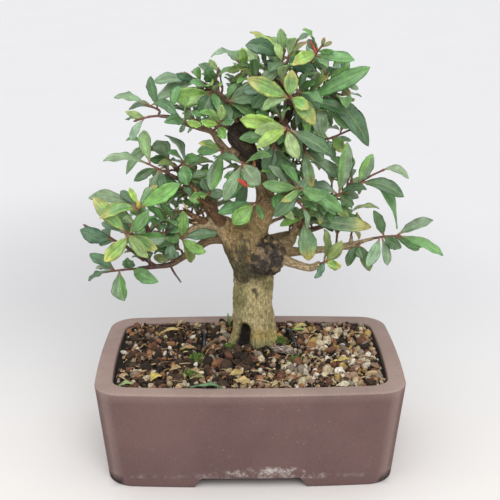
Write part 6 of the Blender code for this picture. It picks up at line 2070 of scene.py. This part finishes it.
def make_moss(finishes):
    """Cushions of moss: many short pointed shoots, taller in the middle of each patch."""
    rng = np.random.default_rng(GRAIN_SEED + 2)
    form = Form()
    for x, y, reach_x, reach_y, count in MOSS:
        for _ in range(count):
            angle, far = rng.uniform(0, 2 * math.pi), math.sqrt(rng.uniform(0, 1))
            foot_x, foot_y = x + reach_x * far * math.cos(angle), y + reach_y * far * math.sin(angle)
            if not inside_bed(np.array([foot_x]), np.array([foot_y]), 2.0)[0]:
                continue
            foot = np.array([foot_x, foot_y, soil_height(foot_x, foot_y) - 0.4])
            tall = (2.4 + 2.2 * (1 - far)) * rng.uniform(0.6, 1.2)
            lean = unit(UP + rng.normal(0, 0.34, 3))
            line = np.array([foot, foot + lean * tall * 0.65, foot + lean * tall])
            rings = tube_rings(line, np.array([0.42, 0.5, 0.08]), 5)
            tint = linear(MOSS_TINT) * rng.uniform(0.5, 1.4)
            form.add_rings(rings, tint)
    form.make("moss", [finishes["moss"]])


def make_fallen_leaves(finishes):
    """Small dropped leaves and scales that lie on the grains."""
    rng = np.random.default_rng(GRAIN_SEED + 3)
    form = Form()
    for x, y, length, width, turn, colour in FALLEN:
        heading = np.array([math.cos(math.radians(turn)), math.sin(math.radians(turn)), 0.0])
        middle = np.array([x, y, soil_height(x, y) + 2.4])
        base, tip = middle - heading * length / 2, middle + heading * length / 2
        tip = tip + UP * 0.6
        face = unit(UP + rng.normal(0, 0.16, 3))
        leaf = make_leaf(base, tip, width, 0.0, face)
        body = Form()
        add_leaf_body(body, leaf, "mid", rng)
        tints = linear(colour) * rng.uniform(0.92, 1.08, (body.count, 1))
        form.add(body.points[0], body.faces, tints, body.spots[0])
    form.make("fallen_leaves", [finishes["leaf"]])


def make_wires(finishes):
    """Anchor wires that arch out of the soil, in place of the plain ones."""
    for name, feet in WIRES.items():
        start, end = feet[0], feet[-1]
        points = [(*start, soil_height(*start) - WIRE_SINK), (*start, soil_height(*start) + WIRE_BEND)]
        points += [(x, y, soil_height(x, y) + WIRE_RISE) for x, y in feet[1:-1]]
        points += [(*end, soil_height(*end) + WIRE_BEND), (*end, soil_height(*end) - WIRE_SINK)]
        line = smooth_line(points, 8)
        rings = tube_rings(line, np.full(len(line), WIRE_RADIUS), 16)
        form = Form()
        form.add_rings(rings, linear(WIRE_TINT))
        made = form.make(name.replace("anchor_wire", "wire_loop"), [finishes["wire"]])
        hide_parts(name)


def make_chip(finishes):
    """The weathered chip of bark, ridged and speckled."""
    points, faces = ball(5)
    seat = soil_height(*CHIP_CENTRE) + SEAT_GAP
    rough = swell(points, CHIP_WAVES, 0.5)
    grain = 0.06 * noise_at(points * np.array([2.0, 7.0, 7.0]), 1.0, 3)
    local = points * 0.5 * np.array(CHIP_SIZE) * (rough + grain)[:, None]
    local[:, 2] = np.maximum(local[:, 2], -CHIP_FLAT * CHIP_SIZE[2])
    turn = np.array(Matrix.Rotation(math.radians(CHIP_TURN), 3, "Z"))
    middle = np.array([*CHIP_CENTRE, seat + CHIP_FLAT * CHIP_SIZE[2]])
    speck = smooth_step(noise_at(points * np.array([3.0, 9.0, 9.0]), 1.1, 3), -0.1, 0.35)
    tints = blend(linear(CHIP_DARK_TINT), linear(CHIP_TINT), speck)
    form = Form()
    form.add(local @ turn.T + middle, [faces], tints)
    made = form.make("weathered_chip", [finishes["chip"]])
    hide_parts("bark_chip")


# Stage, camera and light


def make_stage():
    """The pale floor on which the object stands."""
    floor = bpy.data.meshes.new("floor")
    reach = FLOOR_REACH * MM
    floor.from_pydata([(-reach, -reach, 0), (reach, -reach, 0), (reach, reach, 0), (-reach, reach, 0)], [],
                      [(0, 1, 2, 3)])
    floor.materials.append(floor_finish())
    made = bpy.data.objects.new("floor", floor)
    bpy.context.scene.collection.objects.link(made)


def make_camera():
    """The camera of the front view."""
    camera = bpy.data.objects.new("camera", bpy.data.cameras.new("camera"))
    camera.data.lens = CAMERA_LENS
    camera.location = VIEW_POINT * MM + SHIFT
    camera.rotation_euler = Euler((math.radians(90 - CAMERA_PITCH), 0, math.radians(-CAMERA_HEADING)))
    bpy.context.scene.collection.objects.link(camera)
    bpy.context.scene.camera = camera


def make_sky(scene):
    """Soft light from all round, bright overhead and dim at the horizon."""
    scene.world = bpy.data.worlds.new("studio")
    scene.world.use_nodes = True
    nodes, links = scene.world.node_tree.nodes, scene.world.node_tree.links
    sky = nodes["Background"]
    sky.inputs["Color"].default_value = (1.0, 1.0, 1.0, 1.0)
    where = nodes.new("ShaderNodeTexCoord")
    parts = nodes.new("ShaderNodeSeparateXYZ")
    rise = nodes.new("ShaderNodeMapRange")
    set_span(rise, 0.0, 1.0, SKY_LOW, SKY_HIGH)
    links.new(where.outputs["Generated"], parts.inputs[0])
    links.new(parts.outputs[2], rise.inputs["Value"])
    links.new(rise.outputs["Result"], sky.inputs["Strength"])


def make_light():
    """The sky, two wide soft suns from the front and a weak one from behind."""
    scene = bpy.context.scene
    make_sky(scene)
    for name, (turn, strength, spread) in SUNS.items():
        sun = bpy.data.lights.new(name, "SUN")
        sun.energy = strength
        sun.angle = math.radians(spread)
        made = bpy.data.objects.new(name, sun)
        made.rotation_euler = Euler([math.radians(angle) for angle in turn])
        scene.collection.objects.link(made)
    scene.view_settings.view_transform = "Standard"


def dress_nets(finishes):
    """The drainage nets keep their shape and get a moulded plastic."""
    for name in ("drainage_net_left", "drainage_net_right"):
        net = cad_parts[name]
        for slot in net.material_slots:
            slot.material = finishes["net"]


def make_finishes():
    """Every material, by the short name that the pieces use."""
    return {
        "leaf": leaf_finish(),
        "twig": wood_finish("twig_bark", 1.6, 0.0003, 0.7, 1.25),
        "bark": wood_finish("trunk_bark", 1.0, 0.0006),
        "clay": clay_finish(),
        "stone": stone_finish("soil_grain"),
        "litter": plain_skin("dry_litter", 0.8, 500.0, 0.0001),
        "moss": plain_skin("moss_shoots", 0.75, 420.0, 0.0001),
        "shoot": plain_skin("young_shoot", 0.45, 300.0, 0.00006),
        "wire": plain_skin("annealed_wire", 0.42, 350.0, 0.00006, 0.5, 0.75),
        "chip": stone_finish("weathered_bark"),
        "net": net_finish(),
    }


def main():
    """Makes the stage, the light and every piece."""
    make_camera()
    make_stage()
    make_light()
    finishes = make_finishes()
    wood, sprays, space = grow()
    make_pot(finishes)
    make_soil_bed(finishes)
    make_grains(finishes)
    make_slivers(finishes)
    make_roots(finishes)
    make_moss(finishes)
    make_fallen_leaves(finishes)
    make_wires(finishes)
    make_chip(finishes)
    make_wood(wood, finishes)
    make_splinters(wood, finishes)
    make_sprays(sprays, finishes)
    make_spurs(wood, space, finishes)
    make_shoots(finishes)
    dress_nets(finishes)


main()
